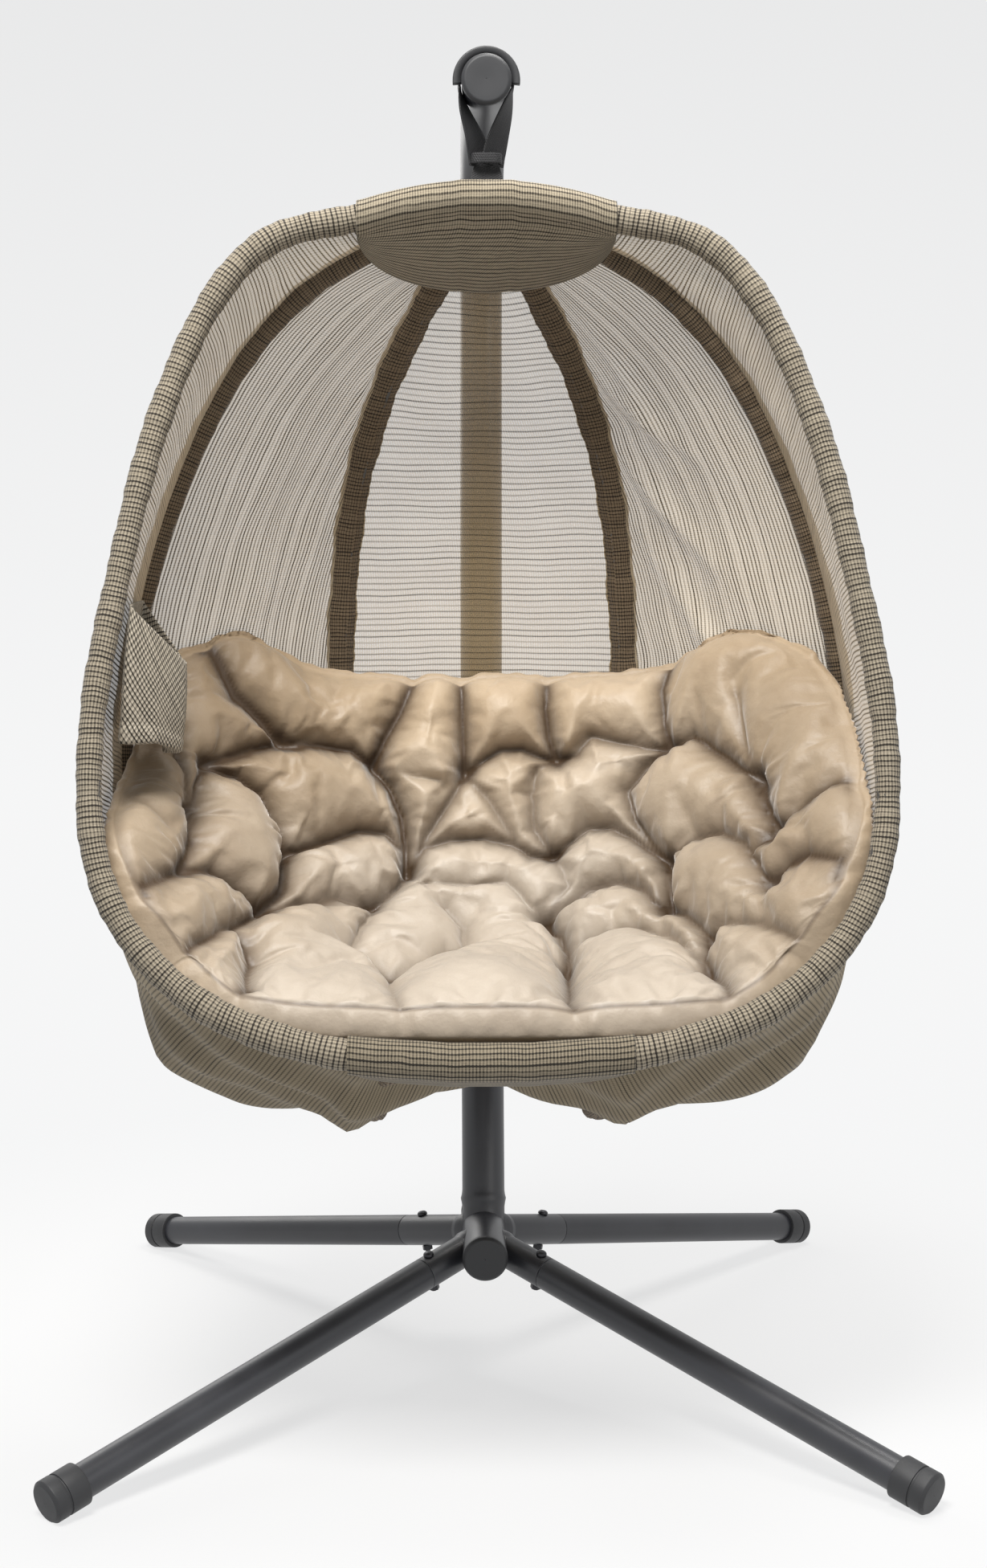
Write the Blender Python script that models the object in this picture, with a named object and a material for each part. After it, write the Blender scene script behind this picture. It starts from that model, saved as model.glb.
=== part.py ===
"""Hanging egg chair on a bent steel stand with four legs.

Metres, +Z up.  The origin is on the floor under the middle of the hub, the chair faces -Y and
its left and right sides are mirrored across X = 0, apart from the side pocket.
"""
from math import acos, cos, hypot, pi, radians, sin, sqrt

import bmesh
import bpy
from mathutils import Matrix, Vector

# Fits
GAP = 0.0003
ROUND_SIDES = 16
RIM_SIDES = 8
RIB_SIDES = 6
BOLT_SIDES = 8

# Hub
HUB_HEIGHT = 0.187
HUB_DIAMETER = 0.062
HUB_WALL = 0.002
HUB_LENGTH = 0.210
CAP_DIAMETER = 0.064
CAP_FLANGE = 0.012
CAP_PLUG = 0.014
CAP_EDGE = 0.004

# Legs: each axis leaves the hub's axis a little ahead of or behind its middle
LEG_DIAMETER = 0.045
LEG_WALL = 0.0018
LEG_JUNCTION_Y = 0.019
FOOT_REACH_X = 0.540
FOOT_REACH_Y = 0.531
SOCKET_REACH = {"front": 0.122, "rear": 0.156}
BOLT_FROM_SOCKET_END = {"front": 0.015, "rear": 0.034}
SPIGOT_LENGTH = 0.055
FOOT_DIAMETER = 0.056
FOOT_END = 0.020
FOOT_GROOVE = 0.003
FOOT_GROOVE_DEPTH = 0.0016
FOOT_COLLAR = 0.028
FOOT_FLOOR = 0.005
FOOT_ROUND = 0.004
FOOT_FLAT_DEPTH = 0.002

# Bolts and nuts
BOLT_DIAMETER = 0.008
BOLT_HEAD_DIAMETER = 0.015
BOLT_HEAD_HEIGHT = 0.006
NUT_HEIGHT = 0.0065
BOLT_TIP = 0.002
BOLT_HEAD_EDGE = 0.002
NUT_SIDES = 6

# Post: lower run, upright run and arm, as (y, z) corners of its axis with bend radii between
POST_DIAMETER = 0.062
POST_WALL = 0.002
POST_FOOT_Y = 0.030
POST_KNEE = (0.203, 0.770)
POST_TOP_Y = 0.235
ARM_HEIGHT = 1.768
ARM_END_Y = -0.232
POST_KNEE_RADIUS = 0.90
POST_TOP_RADIUS = 0.28
POST_JOINT_HEIGHT = 0.600
POST_SPIGOT = 0.060
POST_BOLT_ABOVE_JOINT = 0.030
BEND_STEPS = {"knee": 4, "top": 9}

# Strap stop and strap
COLLAR_DIAMETER = 0.086
COLLAR_LENGTH = 0.012
COLLAR_SETBACK = 0.001
COLLAR_END_ANGLE = radians(-6)
STRAP_WIDTH = 0.045
STRAP_THICKNESS = 0.004
STRAP_SLACK = 0.0012
STRAP_SIDE_GAP = 0.0015
STRAP_APEX_BELOW_ARM = 0.066
STRAP_KNEE_WIDTH = 0.052
STRAP_NECK_WIDTH = 0.039
STRAP_NECK = 0.034
TAIL_WIDTH = 0.042
TAIL_NECK_THICKNESS = 0.009
STRAP_DROP = 0.157
STRAP_BEND_STEPS = 10

# Chair hoops: tube diameters, sleeve wall and half-outlines from crown to lip, in the chair's own drawing
RIM_TUBE = 0.028
RIB_TUBE = 0.025
HOOP_WALL = 0.0014
SLEEVE_WALL = 0.0028
CROWN_FLAT = 0.034
LIP_FLAT = 0.050
HOOP_STEPS = 18
BEND_SHARE = 0.16
SPLINE_SUBSTEPS = 24
CROWN_Y = -0.235
CROWN_Z = 1.622
LIP_Y = -0.525
LIP_Z = 0.568
SECOND_TOP_Z = 1.611
THIRD_TOP = (-0.105, 1.575)
RIM_HALF = ((0.155, 1.597), (0.274, 1.566), (0.352, 1.480), (0.415, 1.327), (0.457, 1.149),
            (0.486, 0.970), (0.481, 0.819), (0.433, 0.712), (0.337, 0.629), (0.201, 0.582))
SECOND_HALF = ((0.141, -0.185, 1.566), (0.250, -0.172, 1.497), (0.348, -0.156, 1.378),
               (0.431, -0.143, 1.197), (0.480, -0.140, 1.000), (0.487, -0.145, 0.840),
               (0.470, -0.155, 0.660), (0.425, -0.162, 0.535), (0.330, -0.160, 0.475),
               (0.170, -0.135, 0.474))
SECOND_BOTTOM = (-0.120, 0.478)
THIRD_HALF = ((0.065, -0.062, 1.533), (0.134, 0.014, 1.407), (0.182, 0.068, 1.255),
              (0.203, 0.098, 1.080), (0.206, 0.095, 0.900), (0.203, 0.060, 0.740),
              (0.196, -0.005, 0.590), (0.172, -0.073, 0.464), (0.156, -0.148, 0.417),
              (0.152, -0.270, 0.450), (0.142, -0.385, 0.512), (0.112, -0.450, 0.539))
THIRD_BOTTOM = (-0.465, 0.545)

# Station numbers along a half hoop where sleeves and panels begin and end
RIM_SLEEVE_SPAN = (1, 17)
SECOND_SLEEVE_SPAN = (2, 18)
THIRD_SLEEVE_SPAN = (1, 16)
SIDE_PANEL_SPAN = (1, 19)
BACK_PANEL_SPAN = (1, 15)
BACK_PANEL_REAR_SPAN = (0, 11)
CENTRE_PANEL_SPAN = (1, 11)
PANEL_COLUMNS = 3
PANEL_THICKNESS = 0.0024
PANEL_SAG = 0.010
SEAM_GAP = 0.0007
LIP_SEAM_TURN = 0.9
LIP_SEAM_ROWS = 4

# Crown and lip hardware and patches
CROWN_PLATE_WIDTH = 0.044
LIP_PLATE_WIDTH = 0.076
PLATE_THICKNESS = 0.006
PLATE_OVERHANG = 0.004
SADDLE_DEPTH = 0.004
PATCH_THICKNESS = 0.0024
PATCH_STANDOFF = 0.0030
CROWN_PATCH_HALF = 0.165
CROWN_PATCH_REACH = 0.150
CROWN_PATCH_DROP = 0.086
CROWN_PATCH_FALL = 0.85
CROWN_PATCH_CORNER = 0.12
CROWN_PATCH_COLUMNS = 10
CROWN_PATCH_TAIL_STEPS = 3
CROWN_WRAP_ANGLES = tuple(radians(80 + 30 * step) for step in range(7))
LIP_PATCH_HALF = 0.172
LIP_PATCH_REAR_Y = -0.466
LIP_PATCH_CLEARANCE = 0.0062
LIP_PATCH_COLUMNS = 8
LIP_WRAP_ANGLES = tuple(radians(75 + 33 * step) for step in range(7))

# Side pocket on the -X side: (x, y) plan corners, inside the side panel
POCKET_PLAN = ((-0.4446, -0.372), (-0.3806, -0.318), (-0.3946, -0.235), (-0.4502, -0.205))
POCKET_BOTTOM = 0.932
POCKET_TOP_RIM = 1.110
POCKET_TOP_INNER = 1.035
POCKET_WALL = 0.003
POCKET_CORNER_INSET = 0.0048

# Seat cushion: (y, z) of its middle surface from lip to top, half thickness and cross radius
CUSHION_LINE = ((-0.508, 0.614), (-0.430, 0.59775), (-0.330, 0.58575), (-0.235, 0.5895), (-0.145, 0.619),
                (-0.080, 0.675), (-0.030, 0.765), (0.004, 0.880), (0.018, 1.005))
CUSHION_HALF_THICKNESS = 0.058
CUSHION_FRONT_THINNING = 0.45
CUSHION_HALF_WIDTH = 0.545
CUSHION_FRONT_RADIUS = 0.95
CUSHION_SEAT_RADIUS = 0.53
CUSHION_BACK_RADIUS = 0.47
CUSHION_SEAT_SHARE = 0.45
CUSHION_EDGE_POWER = 5
CUSHION_LINE_STEPS = 60
CUSHION_SMOOTH = radians(70)
CUSHION_BACK_CORNER = 0.40
CUSHION_LOBE = 0.11
CUSHION_COLUMNS = 26
CUSHION_ROWS = 16
TUFT_DEPTH = 0.028
TUFT_RADIUS = 0.060
TUFT_SHARPNESS = 1.5
TUFT_ROWS = ((3, (7, 11, 15, 19)), (6, (5, 9, 13, 17, 21)), (9, (5, 8, 11, 15, 18, 21)),
             (12, (4, 7, 10, 13, 16, 19, 22)))


def clear_scene():
    """Removes whatever the scene holds."""
    for item in list(bpy.data.objects):
        bpy.data.objects.remove(item, do_unlink=True)


def make_material(name, colour, roughness, metallic):
    """A Principled material with one colour, roughness and metallic value."""
    material = bpy.data.materials.new(name)
    material.use_nodes = True
    shader = material.node_tree.nodes["Principled BSDF"]
    shader.inputs["Base Color"].default_value = (*colour, 1.0)
    shader.inputs["Roughness"].default_value = roughness
    shader.inputs["Metallic"].default_value = metallic
    return material


def make_pivot(name, position):
    """An empty on a joint's axis, which the moving pieces hang from."""
    pivot = bpy.data.objects.new(name, None)
    pivot.location = position
    bpy.context.scene.collection.objects.link(pivot)
    return pivot


def add_piece(name, mesh, material, pivot, place=None):
    """Links a mesh as a named object that is placed in the world and rides on a pivot."""
    piece = bpy.data.objects.new(name, mesh)
    bpy.context.scene.collection.objects.link(piece)
    if material is not None:
        mesh.materials.append(material)
    if pivot is not None:
        piece.parent = pivot
        piece.matrix_parent_inverse = Matrix.Translation(pivot.location).inverted()
    if place is not None:
        piece.matrix_basis = place
    return piece


def finish_mesh(name, bm, smooth_angle=radians(40)):
    """Turns a bmesh into a smooth-shaded mesh whose faces point out."""
    bmesh.ops.recalc_face_normals(bm, faces=bm.faces)
    if bm.calc_volume(signed=True) < 0:
        bmesh.ops.reverse_faces(bm, faces=bm.faces)
    mesh = bpy.data.meshes.new(name)
    bm.to_mesh(mesh)
    bm.free()
    mesh.shade_smooth()
    mesh.set_sharp_from_angle(angle=smooth_angle)
    return mesh


def lathe(name, profile, sides=ROUND_SIDES, closed=False, angle=2 * pi):
    """Turns a (radius, height) profile about Z; a closed profile makes a ring."""
    bm = bmesh.new()
    points = [bm.verts.new((radius, 0.0, height)) for radius, height in profile]
    edges = [bm.edges.new(pair) for pair in zip(points, points[1:])]
    full = angle >= 2 * pi
    if closed:
        edges.append(bm.edges.new((points[-1], points[0])))
        if not full:
            bm.faces.new(points)
    bmesh.ops.spin(bm, geom=points + edges + bm.faces[:], cent=(0, 0, 0), axis=(0, 0, 1), dvec=(0, 0, 0),
                   angle=angle, steps=sides, use_merge=full)
    bmesh.ops.remove_doubles(bm, verts=bm.verts, dist=1e-6)
    return finish_mesh(name, bm)


def cylinder_cutter(name, radius, low, high, place, sides=ROUND_SIDES):
    """A hidden cylinder along its own Z, for cutting."""
    profile = ((0, high), (radius, high), (radius, low), (0, low))
    cutter = add_piece(name, lathe(name, profile, sides), None, None, place)
    cutter.hide_render = True
    cutter.display_type = "WIRE"
    return cutter


def cut(piece, cutter):
    """Cuts one object out of another."""
    modifier = piece.modifiers.new("cut_" + cutter.name, "BOOLEAN")
    modifier.operation = "DIFFERENCE"
    modifier.solver = "EXACT"
    modifier.object = cutter


def axes_place(origin, x_axis, y_axis, z_axis):
    """A placement from an origin and three unit axes."""
    rows = Matrix((x_axis, y_axis, z_axis)).transposed().to_4x4()
    return Matrix.Translation(origin) @ rows


def tube_shell(name, path, across, span, bore, radius, sides):
    """A round tube shell on a stretch of a path; across gives a sideways direction at each point."""
    bm = bmesh.new()
    last = len(path) - 1
    turn = [2 * pi * step / sides for step in range(sides)]
    rings = []
    for index in range(span[0], span[1] + 1):
        tangent = (path[min(index + 1, last)] - path[max(index - 1, 0)]).normalized()
        side = (across[index] - tangent * across[index].dot(tangent)).normalized()
        other = tangent.cross(side)
        spokes = [cos(a) * side + sin(a) * other for a in turn]
        here = path[index]
        rings.append([[bm.verts.new(here + size * spoke) for spoke in spokes] for size in (bore, radius)])
    pairs = []
    for low, high in zip(rings, rings[1:]):
        pairs += [(low[0], high[0]), (low[1], high[1])]
    pairs += [(rings[0][0], rings[0][1]), (rings[-1][0], rings[-1][1])]
    for low, high in pairs:
        for step in range(sides):
            following = (step + 1) % sides
            bm.faces.new((low[step], low[following], high[following], high[step]))
    return finish_mesh(name, bm)


def sheet(name, rows):
    """An open grid of points, to be thickened."""
    bm = bmesh.new()
    grid = [[bm.verts.new(point) for point in row] for row in rows]
    for low, high in zip(grid, grid[1:]):
        for step in range(len(low) - 1):
            bm.faces.new((low[step], low[step + 1], high[step + 1], high[step]))
    return finish_mesh(name, bm)


def thicken(piece, thickness, offset=0.0):
    """Gives a sheet its thickness."""
    modifier = piece.modifiers.new("thickness", "SOLIDIFY")
    modifier.thickness = thickness
    modifier.offset = offset


def spline(points, steps, bend_share=0.0):
    """Points on a smooth curve through the given ones, evenly spaced or closer where it bends."""
    fine = []
    padded = [2 * points[0] - points[1]] + points + [2 * points[-1] - points[-2]]
    for a, b, c, d in zip(padded, padded[1:], padded[2:], padded[3:]):
        for step in range(SPLINE_SUBSTEPS):
            t = step / SPLINE_SUBSTEPS
            fine.append(0.5 * (2 * b + (c - a) * t + (2 * a - 5 * b + 4 * c - d) * t ** 2
                               + (3 * b - a - 3 * c + d) * t ** 3))
    fine.append(points[-1])
    lengths = [0.0, (fine[1] - fine[0]).length]
    for a, b, c in zip(fine, fine[1:], fine[2:]):
        lengths.append(lengths[-1] + (c - b).length + bend_share * (b - a).angle(c - b))
    even = []
    place = 0
    for step in range(steps + 1):
        target = lengths[-1] * step / steps
        while place < len(fine) - 2 and lengths[place + 1] < target:
            place += 1
        span = lengths[place + 1] - lengths[place]
        even.append(fine[place].lerp(fine[place + 1], min(1.0, max(0.0, (target - lengths[place]) / span))))
    return even


def mirrored(points):
    """The same points on the other side of X = 0."""
    return [Vector((-p.x, p.y, p.z)) for p in points]


def filleted_path(corners, radii, steps):
    """A polyline in the YZ plane with round bends at its inner corners."""
    path = [corners[0]]
    for before, corner, after, radius, count in zip(corners, corners[1:], corners[2:], radii, steps):
        into = (corner - before).normalized()
        out = (after - corner).normalized()
        half = into.angle(out) / 2
        reach = radius * sin(half) / cos(half)
        centre = corner + (out - into).normalized() * (radius / cos(half))
        start = corner - into * reach - centre
        finish = corner + out * reach - centre
        for step in range(count + 1):
            path.append(centre + start.normalized().slerp(finish.normalized(), step / count) * radius)
    path.append(corners[-1])
    return path


# Hoop centre lines

def rim_y(z):
    """The rim hoop lies in a plane that leans back towards the crown."""
    return CROWN_Y + (LIP_Y - CROWN_Y) * (CROWN_Z - z) / (CROWN_Z - LIP_Z)


def rim_half():
    """Half of the rim hoop on the +X side, crown to lip."""
    points = [Vector((CROWN_FLAT, CROWN_Y, CROWN_Z))]
    points += [Vector((x, rim_y(z), z)) for x, z in RIM_HALF]
    points.append(Vector((LIP_FLAT, LIP_Y, LIP_Z)))
    return spline(points, HOOP_STEPS, BEND_SHARE)


def second_half():
    """Half of the middle hoop, which the strap carries at its top."""
    points = [Vector((CROWN_FLAT, SUSPENSION_Y, SECOND_TOP_Z))]
    points += [Vector(p) for p in SECOND_HALF]
    points.append(Vector((LIP_FLAT, *SECOND_BOTTOM)))
    return spline(points, HOOP_STEPS, BEND_SHARE)


def third_half():
    """Half of the rear hoop, which runs down the back and forward under the seat."""
    points = [Vector((CROWN_FLAT, *THIRD_TOP))]
    points += [Vector(p) for p in THIRD_HALF]
    points.append(Vector((LIP_FLAT, *THIRD_BOTTOM)))
    return spline(points, HOOP_STEPS, BEND_SHARE)


# Places worked out from the driving dimensions
HUB_RADIUS = HUB_DIAMETER / 2
POST_RADIUS = POST_DIAMETER / 2
LEG_RADIUS = LEG_DIAMETER / 2
SOCKET_BORE = LEG_RADIUS - LEG_WALL
SPIGOT_RADIUS = SOCKET_BORE - GAP
COLLAR_REAR_Y = ARM_END_Y + COLLAR_SETBACK + COLLAR_LENGTH
STRAP_FRONT_Y = COLLAR_REAR_Y + STRAP_SIDE_GAP
SUSPENSION_Y = STRAP_FRONT_Y + STRAP_WIDTH / 2
STRAP_APEX_Z = ARM_HEIGHT - STRAP_APEX_BELOW_ARM
STRAP_END_Z = STRAP_APEX_Z - STRAP_NECK
RIM_SLEEVE = RIM_TUBE / 2 + GAP + SLEEVE_WALL
RIB_SLEEVE = RIB_TUBE / 2 + GAP + SLEEVE_WALL
FOOT_RADIUS = FOOT_DIAMETER / 2
CHAIR_RAISE = ARM_HEIGHT - STRAP_DROP - SECOND_TOP_Z
CHAIR_PLACE = Matrix.Translation((0, 0, CHAIR_RAISE))
HANG_Z = ARM_HEIGHT - STRAP_DROP
CHAIR_HEART = Vector((0.0, SUSPENSION_Y, (CROWN_Z + LIP_Z) / 2))


def inward(points):
    """Directions from the hoops towards the middle of the chair."""
    return [CHAIR_HEART - p for p in points]


def leg_frames():
    """Name, end of the hub and placement of each leg: +Z runs out along the leg, +Y is its upper side."""
    frames = []
    for end, forward in (("front", -1), ("rear", 1)):
        for side, sideways in (("left", -1), ("right", 1)):
            start = Vector((0.0, forward * LEG_JUNCTION_Y, HUB_HEIGHT))
            run = hypot(FOOT_REACH_X, FOOT_REACH_Y - LEG_JUNCTION_Y)
            slope = 0.0
            for _ in range(8):
                foot_z = FOOT_RADIUS * cos(slope) - FOOT_FLAT_DEPTH
                slope = (HUB_HEIGHT - foot_z) / sqrt(run ** 2 + (HUB_HEIGHT - foot_z) ** 2)
            foot = Vector((sideways * FOOT_REACH_X, forward * FOOT_REACH_Y, foot_z))
            along = (foot - start).normalized()
            flat = Vector((along.y, -along.x, 0.0)).normalized()
            upper = along.cross(flat)
            if upper.z < 0:
                flat = -flat
                upper = -upper
            frames.append((end, side, axes_place(start, flat, upper, along), (foot - start).length))
    return frames


def post_path():
    """The post's axis from the hub to the arm's end."""
    corners = [Vector((0.0, POST_FOOT_Y, HUB_HEIGHT)), Vector((0.0, *POST_KNEE)),
               Vector((0.0, POST_TOP_Y, ARM_HEIGHT)), Vector((0.0, ARM_END_Y, ARM_HEIGHT))]
    radii = (POST_KNEE_RADIUS, POST_TOP_RADIUS)
    return filleted_path(corners, radii, (BEND_STEPS["knee"], BEND_STEPS["top"]))


# Stand

def plug_cap(name, bore, material, pivot, place):
    """A moulded cap with a plug that sits in a tube's end; +Z points out of the tube."""
    rim = CAP_DIAMETER / 2
    profile = ((0, CAP_FLANGE), (rim - CAP_EDGE, CAP_FLANGE), (rim, CAP_FLANGE - CAP_EDGE), (rim, GAP),
               (bore - GAP, GAP), (bore - GAP, -CAP_PLUG), (0, -CAP_PLUG))
    return add_piece(name, lathe(name, profile), material, pivot, place)


def bolt_piece(name, reach, material, pivot, place):
    """A bolt along +Y through a tube: its head sits above the tube and its tip shows below the nut."""
    shaft = BOLT_DIAMETER / 2
    head = BOLT_HEAD_DIAMETER / 2
    top = reach + GAP + BOLT_HEAD_HEIGHT
    tip = -(reach + 2 * GAP + NUT_HEIGHT + BOLT_TIP)
    edge = BOLT_HEAD_EDGE
    profile = ((0, top), (head - edge, top), (head, top - edge), (head, reach + GAP), (shaft, reach + GAP),
               (shaft, tip), (0, tip))
    turned = place @ Matrix.Rotation(-pi / 2, 4, "X")
    return add_piece(name, lathe(name, profile, BOLT_SIDES), material, pivot, turned)


def nut_piece(name, reach, material, pivot, place):
    """The hexagon nut under the tube."""
    bore = (BOLT_DIAMETER / 2 + GAP) / cos(pi / NUT_SIDES)
    low = -(reach + GAP + NUT_HEIGHT)
    high = -(reach + GAP)
    size = BOLT_HEAD_DIAMETER / 2
    profile = ((bore, high), (size, high), (size, low), (bore, low))
    turned = place @ Matrix.Rotation(-pi / 2, 4, "X")
    return add_piece(name, lathe(name, profile, NUT_SIDES, closed=True), material, pivot, turned)


def hole_cutter(name, reach, place):
    """A cutter for a bolt's clearance hole through a tube."""
    turned = place @ Matrix.Rotation(-pi / 2, 4, "X")
    return cylinder_cutter(name, BOLT_DIAMETER / 2 + GAP, -2 * reach, 2 * reach, turned, BOLT_SIDES)


def build_hub(paint, plastic, pivot):
    """The short tube that runs front to back, with a cap in each end."""
    along_y = Matrix.Translation((0, 0, HUB_HEIGHT)) @ Matrix.Rotation(pi / 2, 4, "X")
    half = HUB_LENGTH / 2
    bore = HUB_RADIUS - HUB_WALL
    profile = ((bore, half), (HUB_RADIUS, half), (HUB_RADIUS, -half), (bore, -half))
    add_piece("hub_tube", lathe("hub_tube", profile, closed=True), paint, pivot, along_y)
    front = Matrix.Translation((0, -half, HUB_HEIGHT)) @ Matrix.Rotation(pi / 2, 4, "X")
    rear = Matrix.Translation((0, half, HUB_HEIGHT)) @ Matrix.Rotation(-pi / 2, 4, "X")
    plug_cap("hub_cap_front", bore, plastic, pivot, front)
    plug_cap("hub_cap_rear", bore, plastic, pivot, rear)
    return cylinder_cutter("hub_clearance", HUB_RADIUS + GAP, -HUB_LENGTH, HUB_LENGTH, along_y)


def build_leg(end, side, place, length, paint, plastic, zinc, pivot, hub_clearance, floor):
    """Welded socket, leg tube with its drawn-down spigot, foot cap, bolt and nut."""
    tag = end + "_" + side
    reach = SOCKET_REACH[end]
    bore = SPIGOT_RADIUS - LEG_WALL
    socket_profile = ((SOCKET_BORE, reach), (LEG_RADIUS, reach), (LEG_RADIUS, 0), (SOCKET_BORE, 0))
    socket_mesh = lathe("leg_socket", socket_profile, closed=True)
    socket = add_piece("leg_socket_" + tag, socket_mesh, paint, pivot, place)
    cut(socket, hub_clearance)
    leg_start = reach + GAP
    spigot_end = reach - SPIGOT_LENGTH
    leg_profile = ((bore, length), (LEG_RADIUS, length), (LEG_RADIUS, leg_start), (SPIGOT_RADIUS, leg_start),
                   (SPIGOT_RADIUS, spigot_end), (bore, spigot_end))
    leg = add_piece("leg_tube_" + tag, lathe("leg_tube", leg_profile, closed=True), paint, pivot, place)
    bolt_place = place @ Matrix.Translation((0, 0, reach - BOLT_FROM_SOCKET_END[end]))
    hole = hole_cutter("bolt_hole_" + tag, LEG_RADIUS, bolt_place)
    cut(socket, hole)
    cut(leg, hole)
    bolt_piece("leg_bolt_" + tag, LEG_RADIUS, zinc, pivot, bolt_place)
    nut_piece("leg_nut_" + tag, LEG_RADIUS, zinc, pivot, bolt_place)
    tip = length + GAP + FOOT_FLOOR
    end_low = tip - FOOT_END
    groove_low = end_low - FOOT_GROOVE
    collar_low = groove_low - FOOT_COLLAR
    hold = LEG_RADIUS + GAP
    groove = FOOT_RADIUS - FOOT_GROOVE_DEPTH
    foot_profile = ((0, tip), (FOOT_RADIUS - FOOT_ROUND, tip), (FOOT_RADIUS, tip - FOOT_ROUND),
                    (FOOT_RADIUS, end_low), (groove, end_low), (groove, groove_low),
                    (FOOT_RADIUS, groove_low), (FOOT_RADIUS, collar_low), (hold, collar_low),
                    (hold, length + GAP), (0, length + GAP))
    foot = add_piece("foot_cap_" + tag, lathe("foot_cap", foot_profile), plastic, pivot, place)
    cut(foot, floor)


def build_post(paint, plastic, zinc, pivot, hub_clearance, rear_legs):
    """Lower post with a spigot, upper post with the arm, their bolt and nut, and the arm's end cap."""
    path = post_path()
    lean = (path[1] - path[0]).normalized()
    joint = path[0] + lean * ((POST_JOINT_HEIGHT - HUB_HEIGHT) / lean.z)
    bore = POST_RADIUS - POST_WALL
    sideways = Vector((1.0, 0.0, 0.0))
    joint_place = axes_place(joint, sideways.cross(lean), sideways, lean)
    down = (joint - path[0]).length
    spigot = bore - GAP
    inner = spigot - POST_WALL
    lower_profile = ((inner, POST_SPIGOT), (spigot, POST_SPIGOT), (spigot, -GAP), (POST_RADIUS, -GAP),
                     (POST_RADIUS, -down), (inner, -down))
    lower_mesh = lathe("post_lower", lower_profile, closed=True)
    lower = add_piece("post_lower", lower_mesh, paint, pivot, joint_place)
    cut(lower, hub_clearance)
    for tag, place in rear_legs:
        length = SOCKET_REACH["rear"]
        cut(lower, cylinder_cutter("socket_clearance_" + tag, LEG_RADIUS + GAP, 0, length, place))
    upper_path = [joint] + path[1:]
    across = [sideways] * len(upper_path)
    whole = (0, len(upper_path) - 1)
    upper_mesh = tube_shell("post_upper", upper_path, across, whole, bore, POST_RADIUS, ROUND_SIDES)
    upper = add_piece("post_upper", upper_mesh, paint, pivot)
    bolt_place = joint_place @ Matrix.Translation((0, 0, POST_BOLT_ABOVE_JOINT))
    hole = hole_cutter("post_bolt_hole", POST_RADIUS, bolt_place)
    cut(lower, hole)
    cut(upper, hole)
    bolt_piece("post_bolt", POST_RADIUS, zinc, pivot, bolt_place)
    nut_piece("post_nut", POST_RADIUS, zinc, pivot, bolt_place)
    arm_end = Matrix.Translation((0, ARM_END_Y, ARM_HEIGHT)) @ Matrix.Rotation(pi / 2, 4, "X")
    plug_cap("arm_end_cap", bore, plastic, pivot, arm_end)


def build_collar(paint, pivot):
    """The half ring on the arm that stops the strap."""
    inside = POST_RADIUS + GAP
    outside = COLLAR_DIAMETER / 2
    profile = ((inside, 0), (outside, 0), (outside, COLLAR_LENGTH), (inside, COLLAR_LENGTH))
    mesh = lathe("strap_collar", profile, ROUND_SIDES, closed=True, angle=pi - 2 * COLLAR_END_ANGLE)
    turn = Matrix.Rotation(pi / 2, 4, "X") @ Matrix.Rotation(COLLAR_END_ANGLE, 4, "Z")
    add_piece("strap_collar", mesh, paint, pivot, Matrix.Translation((0, COLLAR_REAR_Y, ARM_HEIGHT)) @ turn)


# Strap

def webbing_loop(name, inner, outer, apex, knee, neck_half, neck_end, width):
    """Webbing round a bar along Y: a half ring, two strands to an apex at -Z, then a neck."""
    bm = bmesh.new()
    layers = []
    past = pi / 2 - acos(inner / apex)
    for y in (-width / 2, width / 2):
        sweep = pi + 2 * past
        turn = [-past + sweep * step / STRAP_BEND_STEPS for step in range(STRAP_BEND_STEPS + 1)]
        outside = [(outer * cos(a), outer * sin(a)) for a in turn]
        inside = [(inner * cos(a), inner * sin(a)) for a in turn]
        outside = [(knee, -apex)] + outside + [(-knee, -apex)]
        ring_out = [bm.verts.new((x, y, z)) for x, z in outside]
        ring_in = [bm.verts.new((x, y, z)) for x, z in inside]
        tip = bm.verts.new((0, y, -apex))
        neck = [bm.verts.new((neck_half, y, -neck_end)), bm.verts.new((-neck_half, y, -neck_end))]
        layers.append((ring_out, [tip] + ring_in + [tip], neck))
    for outside, inside, neck in layers:
        for step in range(len(outside) - 1):
            corners = [outside[step], outside[step + 1], inside[step + 1], inside[step]]
            bm.faces.new(corners)
        bm.faces.new((inside[0], outside[0], neck[0], neck[1], outside[-1]))
    low, high = layers
    for chain in (0, 1):
        for step in range(len(low[chain]) - 1):
            bm.faces.new((low[chain][step], low[chain][step + 1], high[chain][step + 1], high[chain][step]))
    around = [(low[0][-1], high[0][-1]), (low[2][1], high[2][1]), (low[2][0], high[2][0]),
              (low[0][0], high[0][0])]
    for (a, b), (c, d) in zip(around, around[1:]):
        bm.faces.new((a, b, d, c))
    return finish_mesh(name, bm)


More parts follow.
